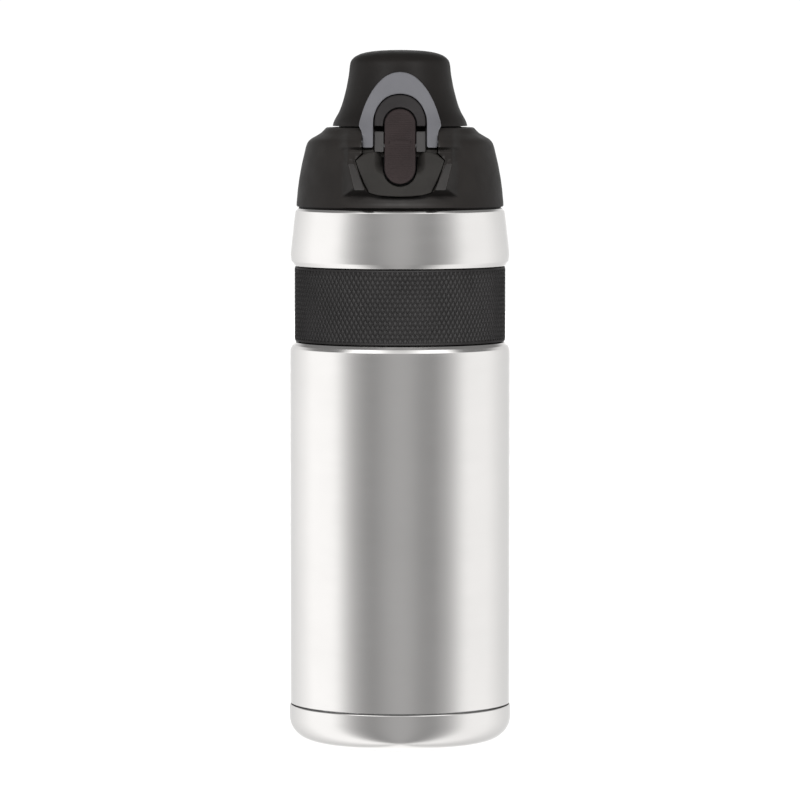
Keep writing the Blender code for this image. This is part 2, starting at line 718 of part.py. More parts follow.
# ------------------------------------------- moving pieces turn about their joints
def pivot(name, point, parent=None):
    empty = bpy.data.objects.new(name, None)
    empty.empty_display_size = 0.01
    empty.location = Vector(point) * MM
    parts.objects.link(empty)
    if parent is not None:
        empty.parent = parent
        empty.matrix_parent_inverse = Matrix.Translation(-parent.matrix_world.translation)
    bpy.context.view_layer.update()
    return empty


def ride(empty, *pieces):
    place = empty.matrix_world.inverted()
    for piece in pieces:
        piece.parent = empty
        piece.matrix_parent_inverse = place


cap_lift = pivot("cap_lift_axis", (0, 0, CAP_Z0))
cap_turn = pivot("cap_screw_axis", (0, 0, CAP_Z0), cap_lift)
lid_axis = pivot("lid_hinge_axis", (0, HINGE_Y, HINGE_Z), cap_turn)
button_axis = pivot("button_axis", (0, BUTTON_Y, BUTTON_Z), cap_turn)
ring_axis = pivot("lock_ring_axis", (0, RING_Y, RING_Z), cap_turn)
ride(cap_lift, neck_gasket)
ride(
    cap_turn, cap_core, cap_shell, bezel, button_pin, button_spring, spout_base, spout_oring,
    mouthpiece, straw, air_valve, hinge_pin, hinge_spring,
)
ride(lid_axis, lid_shell, lid_liner, lid_seal)
ride(button_axis, button)
ride(ring_axis, lock_ring)
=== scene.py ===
"""Looks of the insulated bicycle bottle: satin steel, studded rubber band, moulded cap.

Lengths are in millimetres and become metres when a mesh is made. The bottle stands
on z = 0 with its axis on Z, and the button side faces -Y.
"""

import math

import bmesh
import bpy
import numpy as np
from mathutils import Matrix, Vector, geometry


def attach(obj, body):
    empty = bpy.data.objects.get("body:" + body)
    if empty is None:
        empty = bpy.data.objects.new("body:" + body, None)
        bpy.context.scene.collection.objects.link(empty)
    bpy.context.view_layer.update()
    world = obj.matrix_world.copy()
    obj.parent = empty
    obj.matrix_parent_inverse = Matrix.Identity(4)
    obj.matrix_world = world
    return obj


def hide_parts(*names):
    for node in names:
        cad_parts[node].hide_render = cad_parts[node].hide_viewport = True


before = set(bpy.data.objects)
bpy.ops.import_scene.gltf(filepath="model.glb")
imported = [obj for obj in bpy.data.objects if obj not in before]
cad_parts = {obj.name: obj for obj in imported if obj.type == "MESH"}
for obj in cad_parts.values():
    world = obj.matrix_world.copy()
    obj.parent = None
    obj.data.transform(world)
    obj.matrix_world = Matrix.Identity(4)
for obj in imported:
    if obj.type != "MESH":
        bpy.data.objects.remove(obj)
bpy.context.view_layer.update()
scene = bpy.context.scene
MM = 0.001

# ------------------------------------------------------------------ shared sizes
NECK_R, NECK_TOP = 23.9, 194.0
CAP_Z0, CAP_TOP = 180.3, 206.9
ROOF_Z0, ROOF_Z1 = 196.4, 198.2
WELL_R = 20.0
LID_Z0, LID_TOP = 207.35, 232.85
HINGE_Y, HINGE_Z, HINGE_SLOT = 31.0, 195.0, 7.6
RING_Y, RING_Z = -28.6, 202.4
BUTTON_Y, BUTTON_Z, BUTTON_HALF = -26.4, 201.0, 5.2
BUTTON_TOP, BUTTON_BOTTOM = 213.4, 188.65

FACE = [
    (183.0, -37.30), (186.0, -36.95), (189.0, -36.25), (192.0, -35.20),
    (195.0, -33.95), (198.0, -32.40), (201.0, -30.60), (204.0, -28.80),
    (207.0, -27.00), (210.0, -25.30), (213.0, -23.70), (216.0, -22.35),
    (219.0, -21.25), (222.0, -20.40), (225.5, -19.65), (228.0, -19.20),
]


def dense(table, step=0.05):
    """The table as two arrays, smoothly interpolated."""
    us = np.arange(table[0][0], table[-1][0] + step, step)
    vs = []
    i = 0
    for u in us:
        u = min(u, table[-1][0])
        while i < len(table) - 2 and u > table[i + 1][0]:
            i += 1
        (u0, v0), (u1, v1) = table[i], table[i + 1]
        before, after = table[max(i - 1, 0)], table[min(i + 2, len(table) - 1)]
        s0 = (v1 - before[1]) / (u1 - before[0]) * (u1 - u0)
        s1 = (after[1] - v0) / (after[0] - u0) * (u1 - u0)
        t = (u - u0) / (u1 - u0)
        vs.append(
            (2 * t**3 - 3 * t**2 + 1) * v0 + (t**3 - 2 * t**2 + t) * s0
            + (-2 * t**3 + 3 * t**2) * v1 + (t**3 - t**2) * s1
        )
    return us, np.array(vs)


FACE_U, FACE_V = dense(FACE)


def face(x, z, depth=0.0):
    """The curved front that the button and the lock ring share."""
    return np.interp(z, FACE_U, FACE_V) + np.asarray(x) ** 2 / 60.0 + depth


def ring_face(x, z, depth=0.0):
    """Bowed like the lid at the ring's arch, flat at its legs, where its pivots are."""
    share = np.clip((np.asarray(z) - 204.5) / 8.0, 0.0, 1.0)
    share = share * share * (3 - 2 * share)
    return np.interp(z, FACE_U, FACE_V) + share * np.asarray(x) ** 2 / 60.0 + 0.35 * (1 - share) + depth


def shield(x, z, depth=0.0):
    return np.interp(z, FACE_U, FACE_V) + np.asarray(x) ** 2 / 130.0 + depth


def tongue(x, z):
    return HINGE_Y - np.sqrt(55.15**2 - (np.asarray(z) - HINGE_Z) ** 2) + np.asarray(x) ** 2 / 44.0


# ------------------------------------------------------------------ mesh helpers
def add_object(name, mesh):
    obj = bpy.data.objects.new(name, mesh)
    scene.collection.objects.link(obj)
    return obj


def mesh_from(name, verts, faces, merge=0.0002, sharp=34.0):
    """A mesh object from points in millimetres, merged, facing outwards."""
    mesh = bpy.data.meshes.new(name)
    mesh.from_pydata([(float(x) * MM, float(y) * MM, float(z) * MM) for x, y, z in verts], [], faces)
    bm = bmesh.new()
    bm.from_mesh(mesh)
    if merge:
        bmesh.ops.remove_doubles(bm, verts=bm.verts, dist=merge * MM)
    bmesh.ops.recalc_face_normals(bm, faces=bm.faces)
    bm.to_mesh(mesh)
    bm.free()
    obj = add_object(name, mesh)
    shade(obj, sharp)
    return obj


def shade(obj, sharp=34.0):
    obj.data.shade_smooth()
    obj.data.set_sharp_from_angle(angle=math.radians(sharp))


def rounded(points, steps=5, closed=True):
    """The outline with each (u, v, radius) corner turned into an arc."""
    out = []
    count = len(points)
    for i, point in enumerate(points):
        u, v = point[0], point[1]
        radius = point[2] if len(point) > 2 else 0.0
        if radius <= 0 or (not closed and i in (0, count - 1)):
            out.append((u, v))
            continue
        here = np.array((u, v))
        a = np.array(points[i - 1][:2]) - here
        b = np.array(points[(i + 1) % count][:2]) - here
        la, lb = np.linalg.norm(a), np.linalg.norm(b)
        a, b = a / la, b / lb
        half = math.acos(max(-1.0, min(1.0, float(a @ b)))) / 2
        if half > math.radians(88.5):
            out.append((u, v))
            continue
        reach = min(radius / math.tan(half), 0.48 * la, 0.48 * lb)
        r = reach * math.tan(half)
        way = (a + b) / np.linalg.norm(a + b)
        centre = here + way * (r / math.sin(half))
        start, end = here + a * reach - centre, here + b * reach - centre
        t0 = math.atan2(start[1], start[0])
        turn = math.atan2(end[1], end[0]) - t0
        turn = (turn + math.pi) % math.tau - math.pi
        for k in range(steps + 1):
            t = t0 + turn * k / steps
            out.append((centre[0] + r * math.cos(t), centre[1] + r * math.sin(t)))
    return out


def arc(cx, cz, radius, start, end, count):
    return [
        (
            cx + radius * math.cos(math.radians(start + (end - start) * i / count)),
            cz + radius * math.sin(math.radians(start + (end - start) * i / count)),
        )
        for i in range(count + 1)
    ]


def lathe_data(profile, segs, closed, centre=(0.0, 0.0)):
    """Points and faces of a profile of (radius, height) turned about a vertical axis."""
    verts, faces, rows = [], [], []
    for r, z in profile:
        if r < 1e-6:
            rows.append([len(verts)] * segs)
            verts.append((centre[0], centre[1], z))
        else:
            rows.append(list(range(len(verts), len(verts) + segs)))
            verts.extend(
                (centre[0] + r * math.sin(math.tau * k / segs), centre[1] - r * math.cos(math.tau * k / segs), z)
                for k in range(segs)
            )
    pairs = [(i, i + 1) for i in range(len(rows) - 1)]
    if closed:
        pairs.append((len(rows) - 1, 0))
    for i, j in pairs:
        for k in range(segs):
            m = (k + 1) % segs
            quad = [rows[i][k], rows[i][m], rows[j][m], rows[j][k]]
            quad = [q for n, q in enumerate(quad) if q != quad[n - 1]]
            if len(quad) >= 3:
                faces.append(quad)
    return verts, faces


def lathe(name, profile, segs=192, closed=True, centre=(0.0, 0.0), sharp=34.0):
    verts, faces = lathe_data(profile, segs, closed, centre)
    return mesh_from(name, verts, faces, sharp=sharp)


def sweep_data(path, section, up=None, closed=False):
    """A closed section of (side, up) offsets carried along a path, capped at the ends."""
    path = [Vector(p) for p in path]
    n, m = len(path), len(section)
    verts, faces = [], []
    last = None
    for i, p in enumerate(path):
        ahead = path[(i + 1) % n] if closed or i < n - 1 else p
        behind = path[i - 1] if closed or i > 0 else p
        along = (ahead - behind).normalized()
        if up is not None:
            v = Vector(up) if not callable(up) else Vector(up(p))
        elif last is None:
            v = Vector((0, 0, 1)) if abs(along.z) < 0.9 else Vector((1, 0, 0))
        else:
            v = last
        side = along.cross(v).normalized()
        top = side.cross(along).normalized()
        last = top
        shape = section(i / max(1, n - 1)) if callable(section) else section
        m = len(shape)
        verts.extend(tuple(p + side * s + top * t) for s, t in shape)
    for i in range(n if closed else n - 1):
        j = (i + 1) % n
        for k in range(m):
            l = (k + 1) % m
            faces.append([i * m + k, i * m + l, j * m + l, j * m + k])
    if not closed:
        faces.append(list(range(m)))
        faces.append(list(range((n - 1) * m, n * m)))
    return verts, faces


def circle(radius, count=12):
    return [(radius * math.cos(math.tau * k / count), radius * math.sin(math.tau * k / count)) for k in range(count)]


def merged(name, parts, sharp=34.0):
    """Several closed shells in one mesh object."""
    verts, faces = [], []
    for v, f in parts:
        base = len(verts)
        verts.extend(v)
        faces.extend([[base + i for i in one] for one in f])
    return mesh_from(name, verts, faces, merge=0.0, sharp=sharp)


def mirrored(half):
    """A closed outline from its +X half, listed from top to bottom."""
    return list(half) + [(-p[0], *p[1:]) for p in reversed(half) if abs(p[0]) > 1e-6]


def resample(outline, spacing):
    pts = []
    n = len(outline)
    for i in range(n):
        a, b = np.array(outline[i][:2], float), np.array(outline[(i + 1) % n][:2], float)
        count = max(1, int(round(np.linalg.norm(b - a) / spacing)))
        pts.extend(a + (b - a) * k / count for k in range(count))
    return np.array(pts)


def signed(points, loops):
    """Distance of each point to the loops, positive inside the outline."""
    best = np.full(len(points), 1e9)
    inside = np.zeros(len(points), bool)
    px, pz = points[:, 0], points[:, 1]
    for loop in loops:
        for i in range(len(loop)):
            a, b = loop[i], loop[(i + 1) % len(loop)]
            d = b - a
            length = float(d @ d)
            if length < 1e-12:
                continue
            t = np.clip(((px - a[0]) * d[0] + (pz - a[1]) * d[1]) / length, 0, 1)
            best = np.minimum(best, np.hypot(px - a[0] - t * d[0], pz - a[1] - t * d[1]))
            cross = (a[1] > pz) != (b[1] > pz)
            if cross.any():
                at = a[0] + (pz - a[1]) / (b[1] - a[1] if b[1] != a[1] else 1e-12) * d[0]
                inside ^= cross & (px < at)
    return np.where(inside, best, -best)


def relief_data(outline, front, back, fillet=0.45, back_fillet=0.15, dx=0.6, dz=0.6, edge=0.35, holes=(), steps=4):
    """A plate between two height fields with rounded edges, from its outline in x, z."""
    loops = [resample(outline, edge)] + [resample(h, edge) for h in holes]
    offsets = [fillet * (1 - math.cos(math.pi / 2 * k / steps)) for k in range(1, steps + 1)]
    points = [p for loop in loops for p in loop]
    constraints = []
    base = 0
    for loop in loops:
        n = len(loop)
        constraints.extend((base + i, base + (i + 1) % n) for i in range(n))
        base += n
    extra = []
    for loop in loops:
        ahead, behind = np.roll(loop, -1, axis=0), np.roll(loop, 1, axis=0)
        way = ahead - behind
        way /= np.linalg.norm(way, axis=1)[:, None]
        normal = np.stack([-way[:, 1], way[:, 0]], axis=1)
        probe = signed(loop + normal * 0.02, loops)
        if probe.mean() < 0:
            normal = -normal
        for d in offsets:
            moved = loop + normal * d
            dist = signed(moved, loops)
            extra.append(moved[dist > d * 0.93])
    lo, hi = loops[0].min(0), loops[0].max(0)
    nx, nz = max(2, int(round((hi[0] - lo[0]) / dx))), max(2, int(round((hi[1] - lo[1]) / dz)))
    gx, gz = np.meshgrid(np.linspace(lo[0], hi[0], nx + 1), np.linspace(lo[1], hi[1], nz + 1))
    grid = np.stack([gx.ravel(), gz.ravel()], axis=1)
    dist = signed(grid, loops)
    extra.append(grid[dist > fillet + 0.4 * min(dx, edge)])
    every = np.concatenate([np.array(points)] + extra)
    result = geometry.delaunay_2d_cdt([Vector((float(x), float(z))) for x, z in every], constraints, [], 0, 1e-5)
    flat = np.array([(v.x, v.y) for v in result[0]])
    tris = [list(f) for f in result[2]]
    middle = np.array([flat[t].mean(0) for t in tris])
    keep = signed(middle, loops) > 0
    tris = [t for t, k in zip(tris, keep) if k]
    used = sorted({i for t in tris for i in t})
    index = {v: i for i, v in enumerate(used)}
    flat = flat[used]
    tris = [[index[i] for i in t] for t in tris]
    dist = np.maximum(signed(flat, loops), 0.0)

    def drop(radius):
        d = np.clip(radius - dist, 0.0, radius)
        return radius - np.sqrt(np.maximum(radius**2 - d**2, 0.0))

    x, z = flat[:, 0], flat[:, 1]
    y_front, y_back = front(x, z) + drop(fillet), back(x, z) - drop(back_fillet)
    n = len(flat)
    verts = [(a, b, c) for a, b, c in zip(x, y_front, z)] + [(a, b, c) for a, b, c in zip(x, y_back, z)]
    faces = [t for t in tris] + [[i + n for i in reversed(t)] for t in tris]
    seen = {}
    for t in tris:
        for k in range(3):
            a, b = t[k], t[(k + 1) % 3]
            seen[(a, b)] = True
    for a, b in list(seen):
        if (b, a) not in seen:
            faces.append([b, a, a + n, b + n])
    return verts, faces


def relief_piece(name, outline, front, back, sharp=40.0, **how):
    verts, faces = relief_data(outline, front, back, **how)
    return mesh_from(name, verts, faces, sharp=sharp)


def prism(name, outline, axis, low, high):
    """A closed outline carried straight along Y (outline in x, z) or X (outline in y, z)."""
    n = len(outline)

    def place(u, v, w):
        return (u, w, v) if axis == "Y" else (w, u, v)

    verts = [place(p[0], p[1], low) for p in outline] + [place(p[0], p[1], high) for p in outline]
    faces = [list(range(n)), list(range(2 * n - 1, n - 1, -1))]
    faces += [[i, (i + 1) % n, n + (i + 1) % n, n + i] for i in range(n)]
    return mesh_from(name, verts, faces, merge=0.0)


def rod_data(radius, start, end, sides=40, round_by=0.0):
    """A round bar between two points, with rounded ends."""
    a, b = Vector(start), Vector(end)
    length = (b - a).length
    turn = (b - a).to_track_quat("Z", "Y").to_matrix()
    profile = rounded([(0.0, 0.0), (radius, 0.0, round_by), (radius, length, round_by), (0.0, length)], closed=False)
    verts, faces = lathe_data(profile, sides, False)
    return [tuple(a + turn @ Vector(v)) for v in verts], faces


def rod(name, radius, start, end, sides=40, round_by=0.0):
    return mesh_from(name, *rod_data(radius, start, end, sides, round_by))


def block(name, low, high):
    xs, ys, zs = zip(low, high)
    verts = [(x, y, z) for x in xs for y in ys for z in zs]
    faces = [[0, 1, 3, 2], [4, 6, 7, 5], [0, 4, 5, 1], [2, 3, 7, 6], [0, 2, 6, 4], [1, 5, 7, 3]]
    return mesh_from(name, verts, faces, merge=0.0)


def cut(obj, *cutters, operation="DIFFERENCE"):
    """Booleans applied to the mesh at once; the cutters are removed."""
    for cutter in cutters:
        modifier = obj.modifiers.new("cut", "BOOLEAN")
        modifier.operation = operation
        modifier.solver = "EXACT"
        modifier.object = cutter
    bpy.context.view_layer.update()
    graph = bpy.context.evaluated_depsgraph_get()
    mesh = bpy.data.meshes.new_from_object(obj.evaluated_get(graph))
    mesh.name = obj.name
    obj.modifiers.clear()
    obj.data = mesh
    for cutter in cutters:
        bpy.data.objects.remove(cutter, do_unlink=True)
    shade(obj)
    return obj


def smin(a, b, k):
    h = np.maximum(k - np.abs(a - b), 0.0) / k
    return np.minimum(a, b) - h * h * k * 0.25


def smax(a, b, k):
    return -smin(-a, -b, k)


# ------------------------------------------------------------------ materials
class Nodes:
    """A material with short calls for its nodes."""

    def __init__(self, name):
        self.mat = bpy.data.materials.new(name)
        self.mat.use_nodes = True
        self.tree = self.mat.node_tree
        self.shader = self.tree.nodes["Principled BSDF"]
        coord = self.tree.nodes.new("ShaderNodeTexCoord")
        self.place = coord.outputs["Object"]

    def add(self, kind, **values):
        node = self.tree.nodes.new(kind)
        for key, value in values.items():
            if hasattr(node, key):
                setattr(node, key, value)
            else:
                node.inputs[key.replace("_", " ")].default_value = value
        return node

    def link(self, a, b):
        self.tree.links.new(a, b)

    def noise(self, scale, detail=3.0, rough=0.5, stretch=None):
        place = self.place
        if stretch is not None:
            mapping = self.add("ShaderNodeMapping")
            mapping.inputs["Scale"].default_value = stretch
            self.link(place, mapping.inputs["Vector"])
            place = mapping.outputs["Vector"]
        node = self.add("ShaderNodeTexNoise")
        node.inputs["Scale"].default_value = scale
        node.inputs["Detail"].default_value = detail
        node.inputs["Roughness"].default_value = rough
        self.link(place, node.inputs["Vector"])
        return node.outputs["Fac"]

    def ramp(self, fac, low, high, start=0.35, end=0.65):
        node = self.add("ShaderNodeValToRGB")
        node.color_ramp.elements[0].position = start
        node.color_ramp.elements[1].position = end
        node.color_ramp.elements[0].color = (*low, 1.0)
        node.color_ramp.elements[1].color = (*high, 1.0)
        self.link(fac, node.inputs["Fac"])
        return node.outputs["Color"]

    def range(self, fac, low, high):
        node = self.add("ShaderNodeMapRange")
        node.inputs["From Min"].default_value = 0.3
        node.inputs["From Max"].default_value = 0.7
        node.inputs["To Min"].default_value = low
        node.inputs["To Max"].default_value = high
        self.link(fac, node.inputs["Value"])
        return node.outputs["Result"]

    def bump(self, fac, distance, strength=1.0, after=None):
        node = self.add("ShaderNodeBump")
        node.inputs["Strength"].default_value = strength
        node.inputs["Distance"].default_value = distance
        self.link(fac, node.inputs["Height"])
        if after is not None:
            self.link(after, node.inputs["Normal"])
        return node.outputs["Normal"]


def steel_material(name, base, rough, vary=0.03, grain=0.0000016, stretch=(1.0, 1.0, 7.0)):
    """Spun satin steel: fine rings of grain, slightly uneven gloss."""
    n = Nodes(name)
    n.shader.inputs["Metallic"].default_value = 1.0
    low = tuple(c * 0.985 for c in base)
    high = tuple(min(1.0, c * 1.015) for c in base)
    n.link(n.ramp(n.noise(38.0, 4.0), low, high), n.shader.inputs["Base Color"])
    n.link(n.range(n.noise(60.0, 5.0, 0.6, stretch), rough - vary, rough + vary), n.shader.inputs["Roughness"])
    fine = n.bump(n.noise(2600.0, 2.0, 0.5, stretch), grain, 0.55)
    n.link(n.bump(n.noise(420.0, 3.0, 0.6), grain * 1.2, 0.5, fine), n.shader.inputs["Normal"])
    return n.mat


def plastic_material(name, base, rough, vary=0.05, tone=0.10, grain=0.000012, scale=2300.0, level=0.5):
    """Moulded plastic: a fine eroded texture, faint tone and gloss variation."""
    n = Nodes(name)
    n.shader.inputs["Metallic"].default_value = 0.0
    n.shader.inputs["Specular IOR Level"].default_value = level
    low = tuple(c * (1 - tone) for c in base)
    high = tuple(c * (1 + tone) for c in base)
    n.link(n.ramp(n.noise(95.0, 5.0, 0.6), low, high), n.shader.inputs["Base Color"])
    n.link(n.range(n.noise(170.0, 4.0, 0.6), rough - vary, rough + vary), n.shader.inputs["Roughness"])
    fine = n.bump(n.noise(scale, 3.0, 0.6), grain, 0.5)
    n.link(n.bump(n.noise(scale * 0.3, 2.0, 0.5), grain * 1.6, 0.35, fine), n.shader.inputs["Normal"])
    return n.mat


def clear_material(name, base, rough, through=0.0, soft=0.0):
    """Silicone and straw plastic: milky, with a soft sheen of gloss."""
    n = Nodes(name)
    low = tuple(c * 0.94 for c in base)
    high = tuple(min(1.0, c * 1.04) for c in base)
    n.link(n.ramp(n.noise(120.0, 3.0), low, high), n.shader.inputs["Base Color"])
    n.link(n.range(n.noise(240.0, 3.0), rough - 0.05, rough + 0.05), n.shader.inputs["Roughness"])
    n.shader.inputs["Transmission Weight"].default_value = through
    n.shader.inputs["Subsurface Weight"].default_value = soft
    n.shader.inputs["Subsurface Radius"].default_value = (0.002, 0.002, 0.002)
    n.link(n.bump(n.noise(1500.0, 2.0), 0.000006, 0.4), n.shader.inputs["Normal"])
    return n.mat


M = {
    "satin_steel": steel_material("satin_steel", (0.625, 0.613, 0.602), 0.185),
    "inner_steel": steel_material("inner_steel", (0.60, 0.60, 0.60), 0.24),
    "pin_steel": steel_material("pin_steel", (0.58, 0.58, 0.58), 0.28, grain=0.000004),
    "getter_metal": steel_material("getter_metal", (0.30, 0.30, 0.31), 0.55, grain=0.00002),
    "sealing_glass": plastic_material("sealing_glass", (0.03, 0.025, 0.025), 0.15),
    "band_rubber": plastic_material("band_rubber", (0.0058, 0.0055, 0.0055), 0.50, level=0.05, grain=0.00002, scale=1700.0),
    "silicone": clear_material("silicone", (0.50, 0.51, 0.52), 0.42, soft=0.25),
    "cap_plastic": plastic_material("cap_plastic", (0.0076, 0.0067, 0.0062), 0.50, level=0.07),
    "bezel_plastic": plastic_material("bezel_plastic", (0.0350, 0.0325, 0.0300), 0.50, level=0.16),
    "button_plastic": plastic_material("button_plastic", (0.0370, 0.0270, 0.0270), 0.50, level=0.14),
    "ring_plastic": plastic_material("ring_plastic", (0.180, 0.180, 0.195), 0.48, tone=0.03, level=0.30),
    "inner_plastic": plastic_material("inner_plastic", (0.030, 0.030, 0.031), 0.45),
    "straw_plastic": clear_material("straw_plastic", (0.62, 0.66, 0.70), 0.22, through=0.55),
}
# a lighter copy of the cap plastic for the sheets on the chamfers beside the bezel: a painted highlight
CHAMFER_HIGHLIGHT_PAINT = plastic_material("painted_chamfer_highlight", (0.0500, 0.0470, 0.0455), 0.50, level=0.20)
# a lighter copy of the bezel plastic for the pin posts: a painted highlight where they lean back into the light
POST_PAINTED_HIGHLIGHT = plastic_material("post_painted_highlight", (0.0700, 0.0670, 0.0665), 0.45, level=0.25)
# a lighter copy of the cap plastic for the lid's tongue and arch: a painted highlight on faces that lean back behind
# the ring
TONGUE_PAINTED_HIGHLIGHT = plastic_material("tongue_painted_highlight", (0.0350, 0.0320, 0.0325), 0.50, level=0.16)


def dress(obj, slot, body, *nodes, look=None):
    """Material, body and the CAD nodes that the piece stands for."""
    obj.data.materials.clear()
    obj.data.materials.append(look or M[slot])
    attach(obj, body)
    if nodes:
        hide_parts(*nodes)
    return obj


SEGS = 224

# ------------------------------------------------------------------ steel bottle
shell_profile = [
    (34.0, 179.5), (34.05, 179.9), (34.75, 179.9, 0.45), (35.38, 179.0, 0.5), (35.45, 178.4), (35.77, 175.9), (36.03, 174.0),
    (36.18, 172.1), (36.42, 170.1), (36.64, 168.2), (36.86, 166.2), (37.03, 164.2, 1.2), (36.78, 162.1, 0.8),
    (35.84, 160.55, 0.35), (34.0, 160.5, 0.3), (34.0, 134.9, 0.3), (35.55, 134.88, 0.3), (36.45, 133.9, 0.7),
    (36.98, 132.8, 0.8), (37.15, 131.5, 1.5), (37.15, 110.0), (37.15, 90.0), (37.15, 70.0), (37.15, 50.0), (37.15, 30.0),
    (37.15, 13.0, 0.28), (36.6, 12.95, 0.2), (36.35, 13.6), (36.35, 131.2, 1.0), (35.8, 133.2, 1.0), (33.2, 133.7, 0.6),
    (33.2, 161.6, 0.6), (35.8, 162.4, 0.6), (36.2, 164.2), (35.2, 173.4), (34.6, 177.9, 0.5), (34.2, 178.7),
    (24.35, 178.7), (24.35, 179.5, 0.2),
]
body = lathe("steel_body", rounded(shell_profile), SEGS)
dress(body, "satin_steel", "bottle", "outer_shell")

base_profile = [
    (0.0, 1.2), (15.5, 1.2, 1.0), (17.3, 0.35, 0.8), (18.6, 0.0, 1.0), (27.0, 0.0, 3.0), (28.9, 0.0),
]
base_profile += arc(28.9, 8.6, 8.6, -88, 0, 26)
base_profile += [(37.5, 12.3, 0.3), (37.3, 12.62, 0.2), (36.9, 12.62), (36.7, 8.7)]
base_profile += arc(28.9, 8.6, 7.8, 0, -88, 14)
base_profile += [(18.4, 0.8, 0.5), (16.6, 1.9, 0.5), (0.0, 1.9)]
base = lathe("steel_base", rounded(base_profile, closed=False), SEGS, closed=False)
dress(base, "satin_steel", "bottle", "base_cup")

liner_profile = [
    (0.0, 9.0), (26.6, 9.0, 2.0), (31.0, 12.0, 3.0), (32.4, 17.0, 2.0), (32.4, 162.6, 3.0), (32.0, 166.8, 2.0),
    (30.4, 169.6, 2.0), (25.0, 174.0, 1.0), (23.9, 176.2, 0.8), (23.9, 193.75, 0.35), (23.35, 194.05, 0.3),
    (22.5, 194.05, 0.3), (22.2, 193.4, 0.3), (22.2, 176.0, 1.0), (24.0, 173.6, 1.0), (29.9, 168.8, 2.0), (31.2, 166.2, 2.0),
    (31.6, 162.6, 3.0), (31.6, 17.3, 2.0), (30.3, 12.8, 3.0), (26.4, 9.8, 2.0), (0.0, 9.8),
]


def thread_data(root, crest, z_mid, turns, w_root, w_crest, pitch=4.0, per_turn=72, fade=0.12):
    """A screw thread that runs out smoothly into its wall at both ends."""
    count = round(per_turn * turns)
    verts, faces = [], []
    for i in range(count + 1):
        t = i / count
        angle = math.tau * turns * t
        ease = min(1.0, min(t, 1 - t) / (fade / turns))
        ease = ease * ease * (3 - 2 * ease)
        top = root + (crest - root) * max(0.02, ease)
        z = z_mid + pitch * turns * t
        ring = [
            (root, -w_root / 2), (root + (top - root) * 0.55, -w_root / 2 * 0.86), (top, -w_crest / 2 * 0.9),
            (top, w_crest / 2 * 0.9), (root + (top - root) * 0.55, w_root / 2 * 0.86), (root, w_root / 2),
        ]
        for r, h in ring:
            verts.append((r * math.cos(angle), r * math.sin(angle), z + h))
    m = 6
    for i in range(count):
        for k in range(m):
            faces.append([i * m + k, i * m + (k + 1) % m, (i + 1) * m + (k + 1) % m, (i + 1) * m + k])
    faces.append(list(range(m)))
    faces.append(list(range(count * m, count * m + m)))
    return verts, faces


liner = merged(
    "steel_liner",
    [
        lathe_data(rounded(liner_profile, closed=False), 144, False),
        thread_data(23.7, 25.2, 183.8, 1.6, 1.5, 0.8),
    ],
)
dress(liner, "inner_steel", "bottle", "inner_liner")

# the rubber band: 131 studs round, 16 staggered rows
band_profile = [
    (35.05, 159.25, 0.15), (35.25, 159.4, 0.15), (35.35, 159.8, 0.2), (35.25, 160.22, 0.25), (34.3, 160.22), (34.3, 135.18),
    (35.25, 135.18, 0.25), (35.35, 135.6, 0.2), (35.25, 136.0, 0.15), (35.05, 136.15, 0.15),
]
band_parts = [lathe_data(rounded(band_profile, 3), SEGS, True)]
STUDS, ROWS = 131, 16
PITCH, ROW_GAP = math.tau / STUDS, 1.6
band_mid = (160.5 + 134.9) / 2


def stud_data(angle, z, half_w, half_h, z_low, z_high):
    verts, faces = [], []
    levels = ((34.95, 1.0), (35.08, 0.97), (35.30, 0.70), (35.40, 0.42))
    for r, size in levels:
        for k in range(4):
            du, dv = ((1, 0), (0, 1), (-1, 0), (0, -1))[k]
            a = angle + du * half_w / 35.3 * size
            h = z + dv * half_h * size
            verts.append((r * math.sin(a), -r * math.cos(a), min(z_high, max(z_low, h))))
    verts.append((35.44 * math.sin(angle), -35.44 * math.cos(angle), z))
    for i in range(3):
        for k in range(4):
            m = (k + 1) % 4
            faces.append([i * 4 + k, i * 4 + m, (i + 1) * 4 + m, (i + 1) * 4 + k])
    faces.append([0, 3, 2, 1])
    faces.extend([12 + k, 12 + (k + 1) % 4, 16] for k in range(4))
    return verts, faces


for row in range(ROWS):
    z = band_mid + (row - (ROWS - 1) / 2) * ROW_GAP * 0.93
    for i in range(STUDS):
        band_parts.append(
            stud_data(PITCH * (i + 0.5 * (row % 2)), z, 0.80, 1.44, 135.5, 159.9)
        )
band = merged("rubber_band", band_parts, sharp=28.0)
dress(band, "band_rubber", "bottle", "grip_band")

# ------------------------------------------------------------------ cap shell
XF = 21.5
cap_outer = [
    (180.75, 34.80), (181.8, 34.77), (183.8, 34.57), (185.8, 34.40), (187.8, 34.14), (189.9, 33.84), (191.9, 33.48),
    (193.9, 33.12), (195.9, 32.68), (197.9, 32.21), (199.9, 31.74), (200.9, 31.44), (201.9, 30.98), (202.6, 30.40),
    (203.2, 29.65), (204.0, 28.25), (205.0, 26.60), (205.8, 25.75), (206.3, 25.25),
]
OUT_Z, OUT_R = dense(cap_outer, 0.02)

POCKET_HALF = [
    (0.0, 207.9), (12.65, 207.9), (12.65, 198.72), (14.9, 196.42), (13.65, 192.5), (12.2, 188.75), (10.4, 185.62),
    (7.45, 184.8), (3.8, 184.45), (0.0, 184.35),
]
pocket_outline = mirrored(POCKET_HALF)
pocket_loop = resample(pocket_outline, 0.4)


def ease(value, low, high):
    t = np.clip((np.asarray(value, float) - low) / (high - low), 0.0, 1.0)
    return t * t * (3 - 2 * t)


